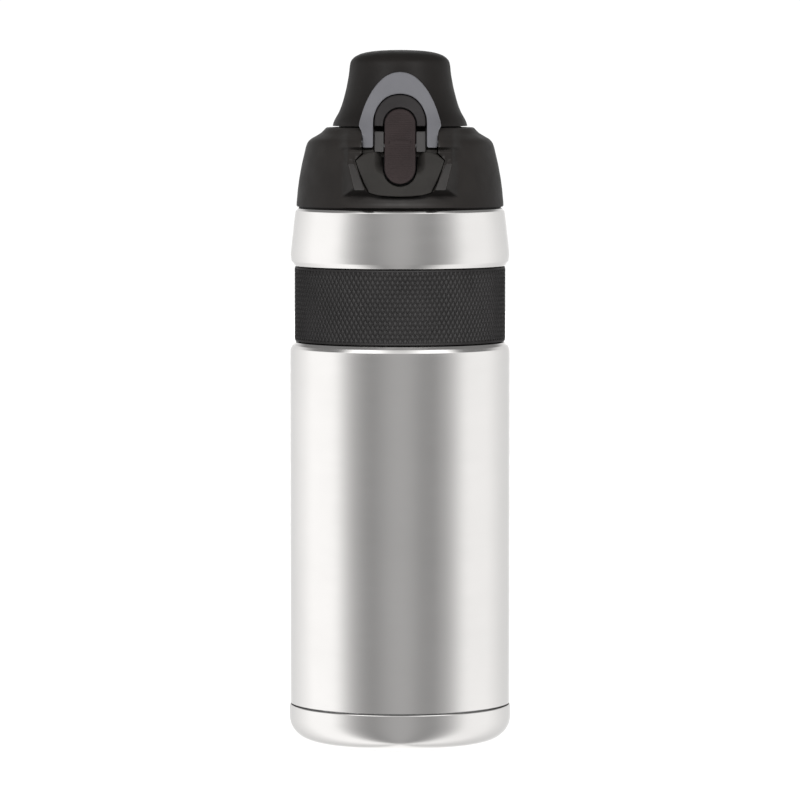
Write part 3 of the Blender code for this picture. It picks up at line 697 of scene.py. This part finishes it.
def cap_front(x, z, r):
    """The front of the cap over (x, z): the turned wall, the boss round the bezel and the ears."""
    ax = np.abs(x)
    none = np.zeros_like(x)
    round_wall = -np.sqrt(np.maximum(r * r - x * x, 1.0))
    # below and beside the boss the wall is scooped in; it flares out again to the rim
    window = ease(21.4 - ax, 0.0, 6.0)
    rise = np.clip((z - 180.8) / 3.3, 0.0, 1.0)
    fall = np.clip((194.0 - z) / 8.0, 0.0, 1.0)
    wall = round_wall + window * (1.1 * np.sin(rise * math.pi / 2) * np.sin(fall * math.pi / 2) - 0.55 * (1 - np.sin(rise * math.pi / 2)))
    # the boss: a chamfer that leans back on each side of the bezel, then a steep flank
    side = 15.0 - np.maximum(0.0, 196.4 - z) * 0.41
    outer = np.interp(z, [184.0, 186.4, 195.4], [14.6, 14.9, 17.2])
    run = np.maximum(ax - side, 0.0)
    chamfer = shield(np.minimum(ax, side), z) + 0.12 * run + 0.31 * (z - 192.5) * ease(run, 0.0, 0.7)
    upright = -30.6 + (ax - 15.0) * 0.45
    boss = smin(chamfer, upright, 0.25) + 1.9 * smax(ax - outer, none, 0.35)
    # the foot: a chamfer that faces down, cut off level with the wall at z = 184.1
    boss = smax(boss, wall - 2.2 * (z - 184.1), 0.3)
    both = np.where(z < 184.1, wall, smin(wall, boss, 0.8))
    # the shoulder swells out on each side of the ring's legs
    swell = ease(24.5 - ax, 0.0, 11.5) * ease(z, 199.3, 200.9) * (1 - ease(z, 204.4, 208.2))
    over = ease(z, 199.0, 201.0)
    shoulder = round_wall - 4.2 * swell
    boss_top = smin(both, shoulder, 0.6)
    return np.where(z > 199.0, boss_top * (1 - over) + shoulder * over, boss_top)


step = 0.3
zs = np.arange(180.75, 206.3 + 1e-6, step)
extra_rows = np.array([184.02, 184.12, 184.22])
zs = np.unique(np.round(np.concatenate([zs[np.abs(zs - 184.1) > 0.12], extra_rows]), 4))
nf = int(round(2 * XF / step))
xs = np.linspace(-XF, XF, nf + 1)
nb = 130
verts, rows = [], []


def row_angles(r):
    edge = math.asin(min(0.999, XF / r))
    return np.concatenate([np.arcsin(xs / r), np.linspace(edge, math.tau - edge, nb + 2)[1:-1]])


def add_ring(points):
    rows.append(list(range(len(verts), len(verts) + len(points))))
    verts.extend(points)


top_r = float(np.interp(206.3, OUT_Z, OUT_R))
low_r = float(np.interp(180.75, OUT_Z, OUT_R))
top_angles, low_angles = row_angles(top_r), row_angles(low_r)
for z in zs:
    r = float(np.interp(z, OUT_Z, OUT_R))
    angles = row_angles(r)
    px, py = r * np.sin(angles), -r * np.cos(angles)
    n = len(xs)
    zz = np.full(n, z)
    y = cap_front(xs, zz, r)
    away = signed(np.stack([xs, zz], axis=1), [pocket_loop])
    d = np.clip(0.42 + away, 0.0, 0.42)
    y = y + np.where(away < 0.0, 0.42 - np.sqrt(np.maximum(0.42**2 - d**2, 0.0)), 0.42)
    blend = ease(XF - np.abs(xs), 0.0, 4.5)
    py[:n] = y * blend + py[:n] * (1 - blend)
    px[:n] = xs
    add_ring([(a, b, z) for a, b in zip(px, py)])
rim_top = [
    (24.95, 206.66), (24.55, 206.86), (24.1, 206.9), (20.75, 206.9), (20.5, 207.0), (20.45, 207.3), (20.42, 207.75), (20.3, 207.9),
    (20.12, 207.9), (20.0, 207.78), (20.0, 205.3), (20.2, 205.1),
]
inner = [
    (22.6, 205.1), (24.6, 204.4), (27.6, 202.5), (28.9, 201.3), (29.7, 200.4), (30.4, 198.0), (31.1, 195.6), (31.7, 192.0),
    (32.3, 188.4), (32.6, 184.0), (32.8, 180.7), (32.8, 180.0), (32.95, 179.85),
]
under = [(33.8, 179.85), (33.95, 180.0), (33.95, 180.3), (34.3, 180.3), (34.6, 180.38), (34.76, 180.55)]
chain = rim_top + inner + under
for i, (r, z) in enumerate(chain):
    t = i / (len(chain) - 1)
    angles = top_angles * (1 - t) + low_angles * t
    add_ring([(r * math.sin(a), -r * math.cos(a), z) for a in angles])
faces = []
count = len(rows[0])
for i in range(len(rows)):
    a, b = rows[i], rows[(i + 1) % len(rows)]
    for k in range(count):
        m = (k + 1) % count
        faces.append([a[k], a[m], b[m], b[k]])
cap = mesh_from("cap_cover", verts, faces)

lugs = [
    rod(f"lug_{s}", 3.3, (s * (HINGE_SLOT - 0.5), HINGE_Y, HINGE_Z), (s * 11.6, HINGE_Y, HINGE_Z), 40, 0.5)
    for s in (-1, 1)
]
cut(cap, *lugs, operation="UNION")
cut(
    cap,
    prism("pocket_low", pocket_outline, "Y", -45.0, -23.0),
    block("pocket_high", (-12.65, -45.0, 199.0), (12.65, -19.4, 208.0)),
    rod("ring_bore", 0.75, (-15.0, RING_Y, RING_Z), (15.0, RING_Y, RING_Z), 32),
    prism("hinge_slot", rounded([(-HINGE_SLOT, 190.0, 0.8), (HINGE_SLOT, 190.0, 0.8), (HINGE_SLOT, 208.0), (-HINGE_SLOT, 208.0)]), "Y", 19.0, 42.0),
    rod("hinge_bore", 1.55, (-13, HINGE_Y, HINGE_Z), (13, HINGE_Y, HINGE_Z), 32),
)
dress(cap, "cap_plastic", "cap", "cap_shell")

# thin sheets laid 0.12 mm over the chamfers beside the bezel, in a lighter copy of the cap plastic: a painted highlight
# where the chamfers catch the light


def pad_front(x, z):
    run = np.maximum(np.abs(x) - 15.0 + np.maximum(0.0, 196.4 - z) * 0.41, 0.0)
    line = 15.0 - np.maximum(0.0, 196.4 - z) * 0.41
    return shield(line, z) + 0.12 * run + 0.31 * (z - 192.5) - 0.12


highlight_sheets = [
    relief_data(
        rounded([(s * 15.15, 195.35, 0.25), (s * 17.15, 195.35, 0.35), (s * 14.95, 186.75, 0.35), (s * 11.6, 186.75, 0.25)]),
        pad_front, lambda x, z: pad_front(x, z) + 1.3, fillet=0.22, back_fillet=0.05, dx=0.4, dz=0.4, edge=0.25,
    )
    for s in (-1, 1)
]
highlight_sheets_obj = merged("chamfer_highlight_sheets", highlight_sheets, sharp=40.0)
# the sheets carry the painted highlight, lighter than the cap plastic beneath them
dress(highlight_sheets_obj, "cap_plastic", "cap", look=CHAMFER_HIGHLIGHT_PAINT)

# ------------------------------------------------------------------ bezel
slot_half = BUTTON_HALF + 0.35
bezel_half = [(slot_half, 199.25), (10.2, 199.2, 0.6), (12.2, 198.45, 0.8), (14.65, 196.35, 0.35), (13.35, 192.6, 8.0),
              (11.9, 188.9, 6.0), (10.2, 185.9, 1.2), (7.4, 185.1, 3.0), (3.8, 184.75, 4.0)]
inner_arc = arc(0.0, BUTTON_BOTTOM + BUTTON_HALF - 0.45, slot_half, 0, -180, 26)
bezel_side = rounded(bezel_half, closed=False)
outline = bezel_side + [(0.0, 184.65)] + [(-x, z) for x, z in reversed(bezel_side)]
bezel_outline = outline + [(x, z) for x, z in reversed(inner_arc)]


def bezel_front(x, z):
    y = shield(x, z)
    ax = np.abs(x)
    # finger scoops on each side of the button
    d = 3.55 - np.hypot(ax - 4.9, np.where(z > 195.4, 0.0, z - 195.4))
    return y + 1.55 * smax(d, 0.0 * d, 0.35) - 0.1


bezel = relief_data(
    bezel_outline, bezel_front, lambda x, z: np.maximum(np.maximum(shield(x, z, 3.0), -31.3), bezel_front(x, z) + 0.8),
    fillet=0.4, dx=0.35, dz=0.35,
)
back_plate = relief_data(
    rounded([(-12.4, 197.6, 0.3), (12.4, 197.6, 0.3), (12.4, 206.0, 0.5), (slot_half, 206.0, 0.3), (slot_half, 198.75), (-slot_half, 198.75), (-slot_half, 206.0, 0.3), (-12.4, 206.0, 0.5)]),
    lambda x, z: face(x, z, 2.75), lambda x, z: face(x, z, 4.25), fillet=0.2, dx=0.8, dz=0.8,
)
ledges = [
    relief_data(
        rounded([(s * 8.7, 198.6), (s * 12.45, 198.6), (s * 12.45, 199.9, 0.3), (s * 8.7, 199.9, 0.3)]),
        lambda x, z: shield(x, z, 0.6), lambda x, z: shield(x, z, 3.4), fillet=0.25, dx=0.5, dz=0.4,
    )
    for s in (-1, 1)
]
bezel_obj = merged("bezel_cover", [bezel, back_plate] + ledges, sharp=40.0)
dress(bezel_obj, "bezel_plastic", "cap", "bezel")
posts = [
    relief_data(
        rounded([(s * 5.42, 199.2, 0.3), (s * 8.45, 199.2, 0.3), (s * 8.45, 205.85, 0.4), (s * 5.42, 205.85, 0.4)]),
        lambda x, z: face(x, z, -0.05), lambda x, z: face(x, z, 3.5), fillet=0.3, dx=0.5, dz=0.5,
    )
    for s in (-1, 1)
]
posts_obj = merged("pin_posts", posts, sharp=40.0)
# the posts belong to the bezel but wear the lighter copy: a painted highlight
dress(posts_obj, "bezel_plastic", "cap", look=POST_PAINTED_HIGHLIGHT)

# ------------------------------------------------------------------ button
PILL = 5.12
pill = arc(0, BUTTON_BOTTOM + BUTTON_HALF, PILL, 180, 360, 40) + arc(0, BUTTON_TOP - BUTTON_HALF, PILL, 0, 180, 40)
RIB = 0.72


def button_front(x, z):
    wave = 0.5 - 0.5 * np.cos((z - 190.0) / RIB * math.tau)
    edge = np.clip((BUTTON_HALF - 0.75 - np.hypot(x, np.where(z < 193.8, z - 193.8, np.where(z > 208.2, z - 208.2, 0.0)))) / 0.4, 0.0, 1.0)
    return face(x, z) + 0.09 * wave * edge


button_parts = [
    relief_data(pill, button_front, lambda x, z: face(x, z, 1.9), fillet=0.45, dx=0.9, dz=0.12, edge=0.4),
]
button = merged("button_cover", button_parts, sharp=50.0)
rib = block("button_rib", (-3.4, -30.0, 199.3), (3.4, -24.3, 203.0))
cut(button, rib, operation="UNION")
cut(button, rod("button_bore", 1.15, (-5, BUTTON_Y, BUTTON_Z), (5, BUTTON_Y, BUTTON_Z), 24))
shade(button, 50.0)
dress(button, "button_plastic", "button", "button")

# ------------------------------------------------------------------ lock ring
RING_HALF = [
    (0.0, 225.5), (2.6, 225.1), (5.0, 223.9), (7.4, 221.7), (9.4, 219.0), (11.2, 215.6), (12.5, 212.2), (13.4, 209.2),
    (13.62, 207.7, 0.5), (12.75, 206.0, 0.6), (12.5, 204.4, 0.8), (12.5, 200.6, 0.7), (8.9, 200.6, 0.7), (8.9, 204.0),
    (8.9, 209.2), (8.5, 211.5), (7.4, 214.05), (5.6, 216.3), (3.1, 217.8), (0.0, 218.3),
]


def smooth_part(points, first, last, count=6):
    """Points from first to last replaced by a smooth curve through them."""
    out = list(points[:first])
    for i in range(first, last):
        p0 = np.array(points[i - 1 if i > first else i][:2], float)
        if i == first and abs(points[i][0]) < 1e-6:
            p0 = np.array((-points[i + 1][0], points[i + 1][1]))
        p1, p2 = np.array(points[i][:2]), np.array(points[i + 1][:2])
        p3 = np.array(points[i + 2 if i + 2 <= last else i + 1][:2], float)
        if i + 1 == last and abs(points[last][0]) < 1e-6:
            p3 = np.array((-points[i][0], points[i][1]))
        for k in range(count):
            t = k / count
            q = 0.5 * (2 * p1 + (p2 - p0) * t + (2 * p0 - 5 * p1 + 4 * p2 - p3) * t * t + (3 * p1 - p0 - 3 * p2 + p3) * t**3)
            out.append((float(q[0]), float(q[1])))
    return out + list(points[last:])


inner_done = smooth_part(RING_HALF, 13, 19)
ring_half = rounded(smooth_part(inner_done, 0, 7), closed=False)
ring_outline = mirrored(ring_half)
ring_data = relief_data(
    ring_outline, ring_face, lambda x, z: ring_face(x, z, 2.0), fillet=0.5, back_fillet=0.3, dx=0.6, dz=0.6, edge=0.35,
)
ring_parts = [ring_data] + [
    rod_data(0.55, (s * 12.0, RING_Y, RING_Z), (s * 14.6, RING_Y, RING_Z), 32, 0.15) for s in (-1, 1)
]
ring = merged("lock_ring_cover", ring_parts, sharp=40.0)
dress(ring, "ring_plastic", "ring", "lock_ring")

# ------------------------------------------------------------------ lid
lid_outer = [
    (207.5, 22.60), (208.0, 22.50), (209.0, 22.15), (210.0, 21.65), (211.0, 21.08), (212.0, 20.52), (214.0, 19.70),
    (216.0, 19.06), (218.0, 18.53), (220.0, 18.03), (222.0, 17.64), (224.0, 17.28), (226.0, 17.02), (227.4, 16.88),
    (228.4, 16.70), (229.2, 16.42), (229.8, 15.98), (230.3, 15.45),
]
LZ, LR = dense(lid_outer, 0.05)
lid_profile = [(22.45, 207.37), (22.62, 207.43)]
lid_profile += [(float(np.interp(z, LZ, LR)), float(z)) for z in np.concatenate([np.arange(207.5, 230.0, 0.5), [230.15, 230.3]])]
lid_profile += [(14.9, 230.72), (14.2, 231.1), (13.4, 231.45), (12.4, 231.78), (11.0, 232.1), (9.4, 232.36), (7.6, 232.56), (5.6, 232.7), (3.2, 232.8), (0.0, 232.85)]
lid_inner = [
    (0.0, 230.9), (12.4, 230.3, 1.0), (14.9, 228.4, 1.0), (15.5, 225.4, 2.0), (17.0, 218.0, 2.0), (18.2, 214.0, 2.0),
    (19.4, 211.0, 1.0), (20.7, 207.7, 0.3), (21.0, 207.37, 0.2),
]
lid_profile += rounded(lid_inner, closed=False)[0:]
seen_profile = []
for p in lid_profile:
    if not seen_profile or abs(p[0] - seen_profile[-1][0]) + abs(p[1] - seen_profile[-1][1]) > 1e-6:
        seen_profile.append(p)
outer_part = [p for p in seen_profile if True]
split = next(i for i, p in enumerate(outer_part) if p[0] == 0.0)
ordered = list(reversed(outer_part[: split + 1])) + list(reversed(outer_part[split + 1:]))
lid = lathe("lid_cover", ordered, SEGS, closed=False)
arm = prism(
    "lid_arm",
    rounded([
        (28.55, 195.4), (28.55, 201.6, 1.5), (24.2, 205.4, 1.0), (21.6, 207.1, 0.6), (20.6, 208.6, 0.5), (19.6, 211.0), (19.6, 213.5),
        (20.2, 212.6, 0.5), (21.9, 210.4, 1.5), (24.6, 208.9, 2.0), (28.0, 206.8, 3.0), (31.6, 203.2, 4.0), (33.3, 199.0, 4.0), (33.6, 195.4),
    ]),
    "X", -7.2, 7.2,
)
barrel = rod("lid_barrel", 2.6, (-7.2, HINGE_Y, HINGE_Z), (7.2, HINGE_Y, HINGE_Z), 40)
tab = prism(
    "lid_tab",
    rounded([(-20.6, 208.8), (-20.9, 205.7, 0.3), (-21.7, 204.95, 0.3), (-21.7, 204.2, 0.3), (-19.5, 204.2, 0.4), (-19.2, 208.8)]),
    "X", -3.6, 3.6,
)
cut(lid, arm, barrel, tab, operation="UNION")
cut(
    lid,
    rod("barrel_bore", 1.5, (-8, HINGE_Y, HINGE_Z), (8, HINGE_Y, HINGE_Z), 32),
    rod("spring_room", 3.4, (-2.9, HINGE_Y, HINGE_Z), (2.9, HINGE_Y, HINGE_Z), 32),
)
dress(lid, "cap_plastic", "lid", "lid_shell")

TONGUE_HALF = [
    (0.0, 217.95), (3.0, 217.45), (5.4, 215.95), (7.1, 213.85), (8.15, 211.4), (8.5, 209.2), (8.5, 207.65, 0.3), (0.0, 207.65),
]
tongue_half = rounded(smooth_part(TONGUE_HALF, 0, 5), closed=False)
pad = relief_piece(
    "lid_pad", mirrored(tongue_half), lambda x, z: tongue(x, z) - 0.05, lambda x, z: tongue(x, z) + 2.4,
    fillet=0.35, back_fillet=0.05, dx=0.5, dz=0.5,
)
# the tongue is part of the lid but wears the lighter copy: a painted highlight
dress(pad, "cap_plastic", "lid", look=TONGUE_PAINTED_HIGHLIGHT)
arch_side = [p for p in tongue_half if p[1] > 207.66]
arch_slot = [(5.62, 207.65), (5.62, BUTTON_TOP - BUTTON_HALF)] + arc(0, BUTTON_TOP - BUTTON_HALF, 5.62, 4, 90, 20)
arch_outline = arch_side + [(8.25, 207.65)] + arch_slot[:-1] + [(0.0, BUTTON_TOP + 0.42)]
arch_outline = arch_outline[:-1] + [(0.0, BUTTON_TOP + 0.42)] + [(-x, z) for x, z in reversed(arch_outline[:-1]) if abs(x) > 1e-6]
arch = relief_piece(
    "lid_arch", arch_outline, lambda x, z: face(x, z, 0.2), lambda x, z: tongue(x, z) + 0.6,
    fillet=0.4, back_fillet=0.05, dx=0.4, dz=0.4,
)
# the arch wears the same painted highlight as the tongue
dress(arch, "cap_plastic", "lid", look=TONGUE_PAINTED_HIGHLIGHT)

# ------------------------------------------------------------------ inside the cap
core_profile = rounded([
    (22.2, 204.7, 0.2), (22.2, 198.2, 0.4), (27.7, 198.2, 0.4), (28.0, 181.4, 0.3), (26.3, 181.4, 0.3), (26.3, 196.4, 0.4),
    (8.6, 196.4, 0.2), (8.6, 198.2, 0.2), (20.5, 198.2, 0.8), (20.5, 204.7, 0.3),
])
core = merged("cap_core_body", [lathe_data(core_profile, 128, True), thread_data(26.45, 24.95, 185.8, 1.4, 1.5, 0.8)])
cut(core, block("notch", (-4.6, -24.0, 202.4), (4.6, -17.0, 206.0)), rod("vent", 1.7, (13.5, 0, 195.0), (13.5, 0, 200.0), 32))
dress(core, "inner_plastic", "cap", "cap_core")

socket = lathe(
    "spout_socket",
    rounded([
        (8.2, 208.4, 0.25), (8.2, 199.9, 0.5), (13.1, 199.9, 0.25), (13.4, 199.6, 0.2), (13.4, 198.5, 0.2), (8.3, 198.5, 0.1),
        (8.3, 190.4, 0.3), (6.6, 190.4, 0.3), (6.6, 208.4, 0.25),
    ]), 112,
)
cut(socket, block("valve_room", (10.4, -3.2, 197), (16.0, 3.2, 202)))
dress(socket, "inner_plastic", "cap", "spout_base")

nozzle = lathe(
    "drinking_spout",
    rounded([
        (5.9, 226.05, 0.6), (6.75, 225.3, 0.5), (6.75, 223.8, 0.7), (6.0, 221.4, 1.2), (6.0, 216.6, 0.4), (6.25, 216.2, 0.3), (6.0, 215.8, 0.4),
        (6.0, 213.4, 0.4), (6.25, 213.0, 0.3), (6.0, 212.6, 0.4), (6.0, 210.4, 0.8), (8.4, 209.6, 0.4), (8.4, 208.7, 0.3),
        (6.3, 208.7, 0.2), (6.3, 192.0, 0.2), (4.2, 192.0), (4.2, 205.6), (3.3, 206.6, 0.5), (3.3, 225.2, 0.6), (4.2, 226.05, 0.6),
    ]), 112,
)
dress(nozzle, "silicone", "cap", "mouthpiece")

straw = lathe(
    "straw_tube",
    [(3.9, 204.3), (3.9, 150.0), (3.9, 100.0), (3.9, 50.0), (3.9, 14.3), (3.75, 14.0), (3.25, 14.0), (3.1, 14.3), (3.1, 50.0), (3.1, 100.0), (3.1, 150.0), (3.1, 204.3), (3.25, 204.5), (3.75, 204.5)],
    64,
)
dress(straw, "straw_plastic", "cap", "straw")

valve = lathe(
    "air_vent",
    rounded([
        (0.0, 199.25), (1.9, 199.2, 0.3), (2.5, 198.85, 0.25), (2.4, 198.5, 0.1), (1.35, 198.5, 0.1), (1.35, 196.1, 0.1), (2.3, 196.1, 0.2),
        (2.0, 195.4, 0.4), (0.0, 194.9),
    ], closed=False), 48, closed=False, centre=(13.5, 0.0),
)
dress(valve, "silicone", "cap", "air_valve")

gasket = lathe(
    "neck_seal",
    rounded([(25.6, 196.1, 0.3), (25.6, 194.9, 0.3), (25.0, 194.3, 0.3), (21.6, 194.3, 0.3), (21.6, 194.9, 0.2), (21.9, 195.2, 0.2), (21.6, 195.5, 0.2), (21.6, 196.1, 0.3)]),
    128,
)
dress(gasket, "silicone", "gasket", "neck_gasket")

oring = lathe("spout_seal", [(9.6 + 0.78 * math.cos(a), 195.4 + 0.66 * math.sin(a)) for a in np.linspace(0, math.tau, 17)[:-1]], 96)
dress(oring, "silicone", "cap", "spout_oring")

holder = lathe(
    "seal_holder",
    rounded([
        (0.0, 230.4), (10.6, 230.0, 0.4), (11.6, 229.4, 0.5), (11.6, 226.6, 0.3), (10.4, 226.6, 0.3), (10.4, 228.6, 0.5), (8.2, 228.6, 0.1),
        (8.2, 228.3), (0.0, 228.3),
    ], closed=False), 112, closed=False,
)
dress(holder, "inner_plastic", "lid", "lid_liner")
disc = lathe(
    "spout_stopper",
    rounded([
        (0.0, 228.0), (7.6, 228.0, 0.3), (8.0, 227.6, 0.2), (8.0, 226.6, 0.3), (7.6, 226.3, 0.3), (5.2, 226.3, 0.3), (4.9, 226.6, 0.2), (3.6, 226.6, 0.2), (3.2, 226.3, 0.3), (0.0, 226.3),
    ], closed=False), 96, closed=False,
)
dress(disc, "silicone", "lid", "lid_seal")

pin = merged("hinge_axle", [rod_data(1.2, (-10.95, HINGE_Y, HINGE_Z), (10.95, HINGE_Y, HINGE_Z), 40, 0.25)])
dress(pin, "pin_steel", "cap", "hinge_pin")


def coil_path(radius, length, turns, axis, centre, legs=()):
    """Points of a coil along the X axis or the Y axis."""
    pts = []
    n = int(turns * 28)
    for i in range(n + 1):
        a = math.tau * turns * i / n
        u, v, w = radius * math.cos(a), radius * math.sin(a), length * (i / n - 0.5)
        pts.append((centre[0] + w, centre[1] + u, centre[2] + v) if axis == "X" else (centre[0] + u, centre[1] + w, centre[2] + v))
    return pts


spring = merged("lid_spring", [sweep_data(coil_path(2.1, 4.0, 4.0, "X", (0, HINGE_Y, HINGE_Z)), circle(0.34, 12))])
dress(spring, "pin_steel", "cap", "hinge_spring")
press_front = float(face(0.0, 192.6, 1.9)) + 1.75
press = merged(
    "button_return_spring",
    [sweep_data(coil_path(1.7, -28.65 - press_front - 0.6, 3.5, "Y", (0, (press_front - 28.65) / 2, 192.6)), circle(0.25, 10))],
)
dress(press, "pin_steel", "cap", "button_spring")
axle = merged("button_axle", [rod_data(0.85, (-7.2, BUTTON_Y, BUTTON_Z), (7.2, BUTTON_Y, BUTTON_Z), 32, 0.2)])
dress(axle, "pin_steel", "cap", "button_pin")

# hidden nodes keep their own mesh
for node, slot_name in (("vacuum_bottom", "inner_steel"), ("seal_bead", "sealing_glass"), ("getter", "getter_metal")):
    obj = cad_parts[node]
    obj.data.materials.clear()
    obj.data.materials.append(M[slot_name])

# ------------------------------------------------------------------ studio
SOFTBOX, CEILING = 0.9, 0.14
BAND_KEY, LID_KEY, TOP = 42.0, 13.0, 42.0
world = bpy.data.worlds.new("studio")
scene.world = world
world.use_nodes = True
wt = world.node_tree
for node in list(wt.nodes):
    wt.nodes.remove(node)


def srgb(v):
    v /= 255.0
    return v / 12.92 if v <= 0.04045 else ((v + 0.055) / 1.055) ** 2.4


RIGHT = [
    (0, 161), (9, 158), (15, 152), (21.5, 143), (31, 139), (37.6, 142), (41, 152), (48, 164), (55, 183), (62, 205), (69, 226),
    (76, 236), (103, 236), (114, 227), (127, 215), (144, 202), (155, 197), (163, 205), (170, 250), (180, 255),
]
LEFT = [
    (9, 158), (16, 152), (22.5, 144), (29, 139), (35.5, 143), (42, 155), (49, 171), (56, 194), (63, 220), (70.6, 244), (78, 250),
    (105, 250), (116, 238), (129, 224), (147, 206), (161, 195), (170, 250),
]
stops = [((180 - a) / 360.0, v) for a, v in LEFT] + [((180 + a) / 360.0, v) for a, v in RIGHT]
stops.sort()

coord = wt.nodes.new("ShaderNodeTexCoord")
split_dir = wt.nodes.new("ShaderNodeSeparateXYZ")
wt.links.new(coord.outputs["Generated"], split_dir.inputs["Vector"])


def wmath(op, a, b=None, clamp=False):
    node = wt.nodes.new("ShaderNodeMath")
    node.operation = op
    node.use_clamp = clamp
    for i, v in enumerate((a, b)):
        if v is None:
            continue
        if isinstance(v, (int, float)):
            node.inputs[i].default_value = v
        else:
            wt.links.new(v, node.inputs[i])
    return node.outputs[0]


# azimuth from -Y: 0.5 straight behind the camera, 0 and 1 at the backdrop
azimuth = wmath("ARCTAN2", split_dir.outputs["X"], wmath("MULTIPLY", split_dir.outputs["Y"], -1.0))
share = wmath("ADD", wmath("DIVIDE", azimuth, math.tau), 0.5)


def ramp_of(part):
    node = wt.nodes.new("ShaderNodeValToRGB")
    ramp = node.color_ramp
    ramp.interpolation = "LINEAR"
    while len(ramp.elements) > 1:
        ramp.elements.remove(ramp.elements[-1])
    first = True
    for pos, v in part:
        e = ramp.elements[0] if first else ramp.elements.new(pos)
        e.position = pos
        first = False
        lum = srgb(v) / 0.615 * 0.5  # halved to stay under one, doubled again below
        e.color = (lum, lum, lum, 1.0)
    wt.links.new(share, node.inputs["Fac"])
    return node.outputs["Color"]


left_part = [(0.0, 255)] + [s for s in stops if s[0] <= 0.5]
right_part = [s for s in stops if s[0] >= 0.5] + [(1.0, 255)]
is_right = wmath("GREATER_THAN", share, 0.5)
mix = wt.nodes.new("ShaderNodeMix")
mix.data_type = "RGBA"
wt.links.new(is_right, mix.inputs["Factor"])
wt.links.new(ramp_of(left_part), mix.inputs["A"])
wt.links.new(ramp_of(right_part), mix.inputs["B"])
around = mix.outputs["Result"]

up = split_dir.outputs["Z"]


def smooth(value, low, high, out_low=0.0, out_high=1.0):
    node = wt.nodes.new("ShaderNodeMapRange")
    node.interpolation_type = "SMOOTHSTEP"
    node.inputs["From Min"].default_value = low
    node.inputs["From Max"].default_value = high
    node.inputs["To Min"].default_value = out_low
    node.inputs["To Max"].default_value = out_high
    wt.links.new(value, node.inputs["Value"])
    return node.outputs["Result"]


# two softboxes high on the left and the right of the camera, over a dim ceiling
aside = wmath("ABSOLUTE", azimuth)
lobes = wmath("MULTIPLY", smooth(aside, 0.10, 0.62, 0.45, 1.0), smooth(aside, 0.95, 1.40, 1.0, 0.0))
high_share = wmath("MULTIPLY", smooth(up, 0.28, 0.45), smooth(up, 0.70, 0.95, 1.0, 0.12))
ceiling = wmath("ADD", wmath("MULTIPLY", wmath("MULTIPLY", lobes, high_share), SOFTBOX), CEILING)
ceiling_color = wt.nodes.new("ShaderNodeCombineColor")
for channel in ("Red", "Green", "Blue"):
    wt.links.new(ceiling, ceiling_color.inputs[channel])
final = wt.nodes.new("ShaderNodeMix")
final.data_type = "RGBA"
wt.links.new(smooth(up, 0.27, 0.46), final.inputs["Factor"])
wt.links.new(around, final.inputs["A"])
wt.links.new(ceiling_color.outputs["Color"], final.inputs["B"])
background = wt.nodes.new("ShaderNodeBackground")
background.inputs["Strength"].default_value = 2.0
wt.links.new(final.outputs["Result"], background.inputs["Color"])
# what the camera sees straight: an even white
plain = wt.nodes.new("ShaderNodeBackground")
plain.inputs["Color"].default_value = (1.0, 1.0, 1.0, 1.0)
plain.inputs["Strength"].default_value = 1.05
path = wt.nodes.new("ShaderNodeLightPath")
pick = wt.nodes.new("ShaderNodeMixShader")
wt.links.new(path.outputs["Is Camera Ray"], pick.inputs["Fac"])
wt.links.new(background.outputs["Background"], pick.inputs[1])
wt.links.new(plain.outputs["Background"], pick.inputs[2])
out = wt.nodes.new("ShaderNodeOutputWorld")
wt.links.new(pick.outputs["Shader"], out.inputs["Surface"])



def soft_light(name, azimuth_deg, elevation_deg, distance, wide, tall, power, pieces):
    """A rectangular softbox aimed at the cap, flagged off the mirror-like steel."""
    a, e = math.radians(azimuth_deg), math.radians(elevation_deg)
    way = Vector((math.sin(a) * math.cos(e), -math.cos(a) * math.cos(e), math.sin(e)))
    data = bpy.data.lights.new(name, "AREA")
    data.shape, data.size, data.size_y = "RECTANGLE", wide, tall
    data.energy = power
    light = bpy.data.objects.new(name, data)
    scene.collection.objects.link(light)
    light.location = Vector((0.0, 0.0, 0.17)) + way * distance
    light.rotation_euler = way.to_track_quat("Z", "Y").to_euler()
    group = bpy.data.collections.new(f"{name}_lights")
    for piece in pieces:
        group.objects.link(piece)
    light.light_linking.receiver_collection = group


soft_light("band_left", -20, 12, 1.3, 0.45, 0.7, BAND_KEY, [band])
soft_light("band_right", 25, 12, 1.3, 0.45, 0.7, BAND_KEY * 1.12, [band])
soft_light("lid_left", -34, 18, 1.3, 0.45, 0.7, LID_KEY, [lid])
soft_light("lid_right", 34, 18, 1.3, 0.45, 0.7, LID_KEY, [lid])
soft_light("cap_top", 0, 29, 1.2, 0.9, 0.30, TOP, [cap])

bm = bmesh.new()
bmesh.ops.create_grid(bm, x_segments=24, y_segments=24, size=3.0)
floor_mesh = bpy.data.meshes.new("studio_floor")
bm.to_mesh(floor_mesh)
bm.free()
floor = add_object("studio_floor", floor_mesh)
floor.location = (0.0, 0.0, -0.0002)
nf_ = Nodes("studio_floor")
nf_.link(nf_.ramp(nf_.noise(1.2, 2.0), (0.90, 0.90, 0.90), (0.92, 0.92, 0.92)), nf_.shader.inputs["Base Color"])
nf_.shader.inputs["Roughness"].default_value = 0.9
nf_.shader.inputs["Specular IOR Level"].default_value = 0.1
nf_.shader.inputs["Emission Color"].default_value = (1.0, 1.0, 1.0, 1.0)
nf_.shader.inputs["Emission Strength"].default_value = 0.62
floor.data.materials.append(nf_.mat)
floor.visible_glossy = False

camera_data = bpy.data.cameras.new("camera")
camera_data.sensor_width = 36.0
camera_data.lens = 247.5
camera_data.clip_end = 50.0
camera = bpy.data.objects.new("camera", camera_data)
scene.collection.objects.link(camera)
camera.location = (0.0, -1.85, 0.2347)
camera.rotation_euler = (math.radians(90.0 - 3.7), 0.0, 0.0)
scene.camera = camera
scene.view_settings.view_transform = "Standard"
scene.view_settings.look = "None"
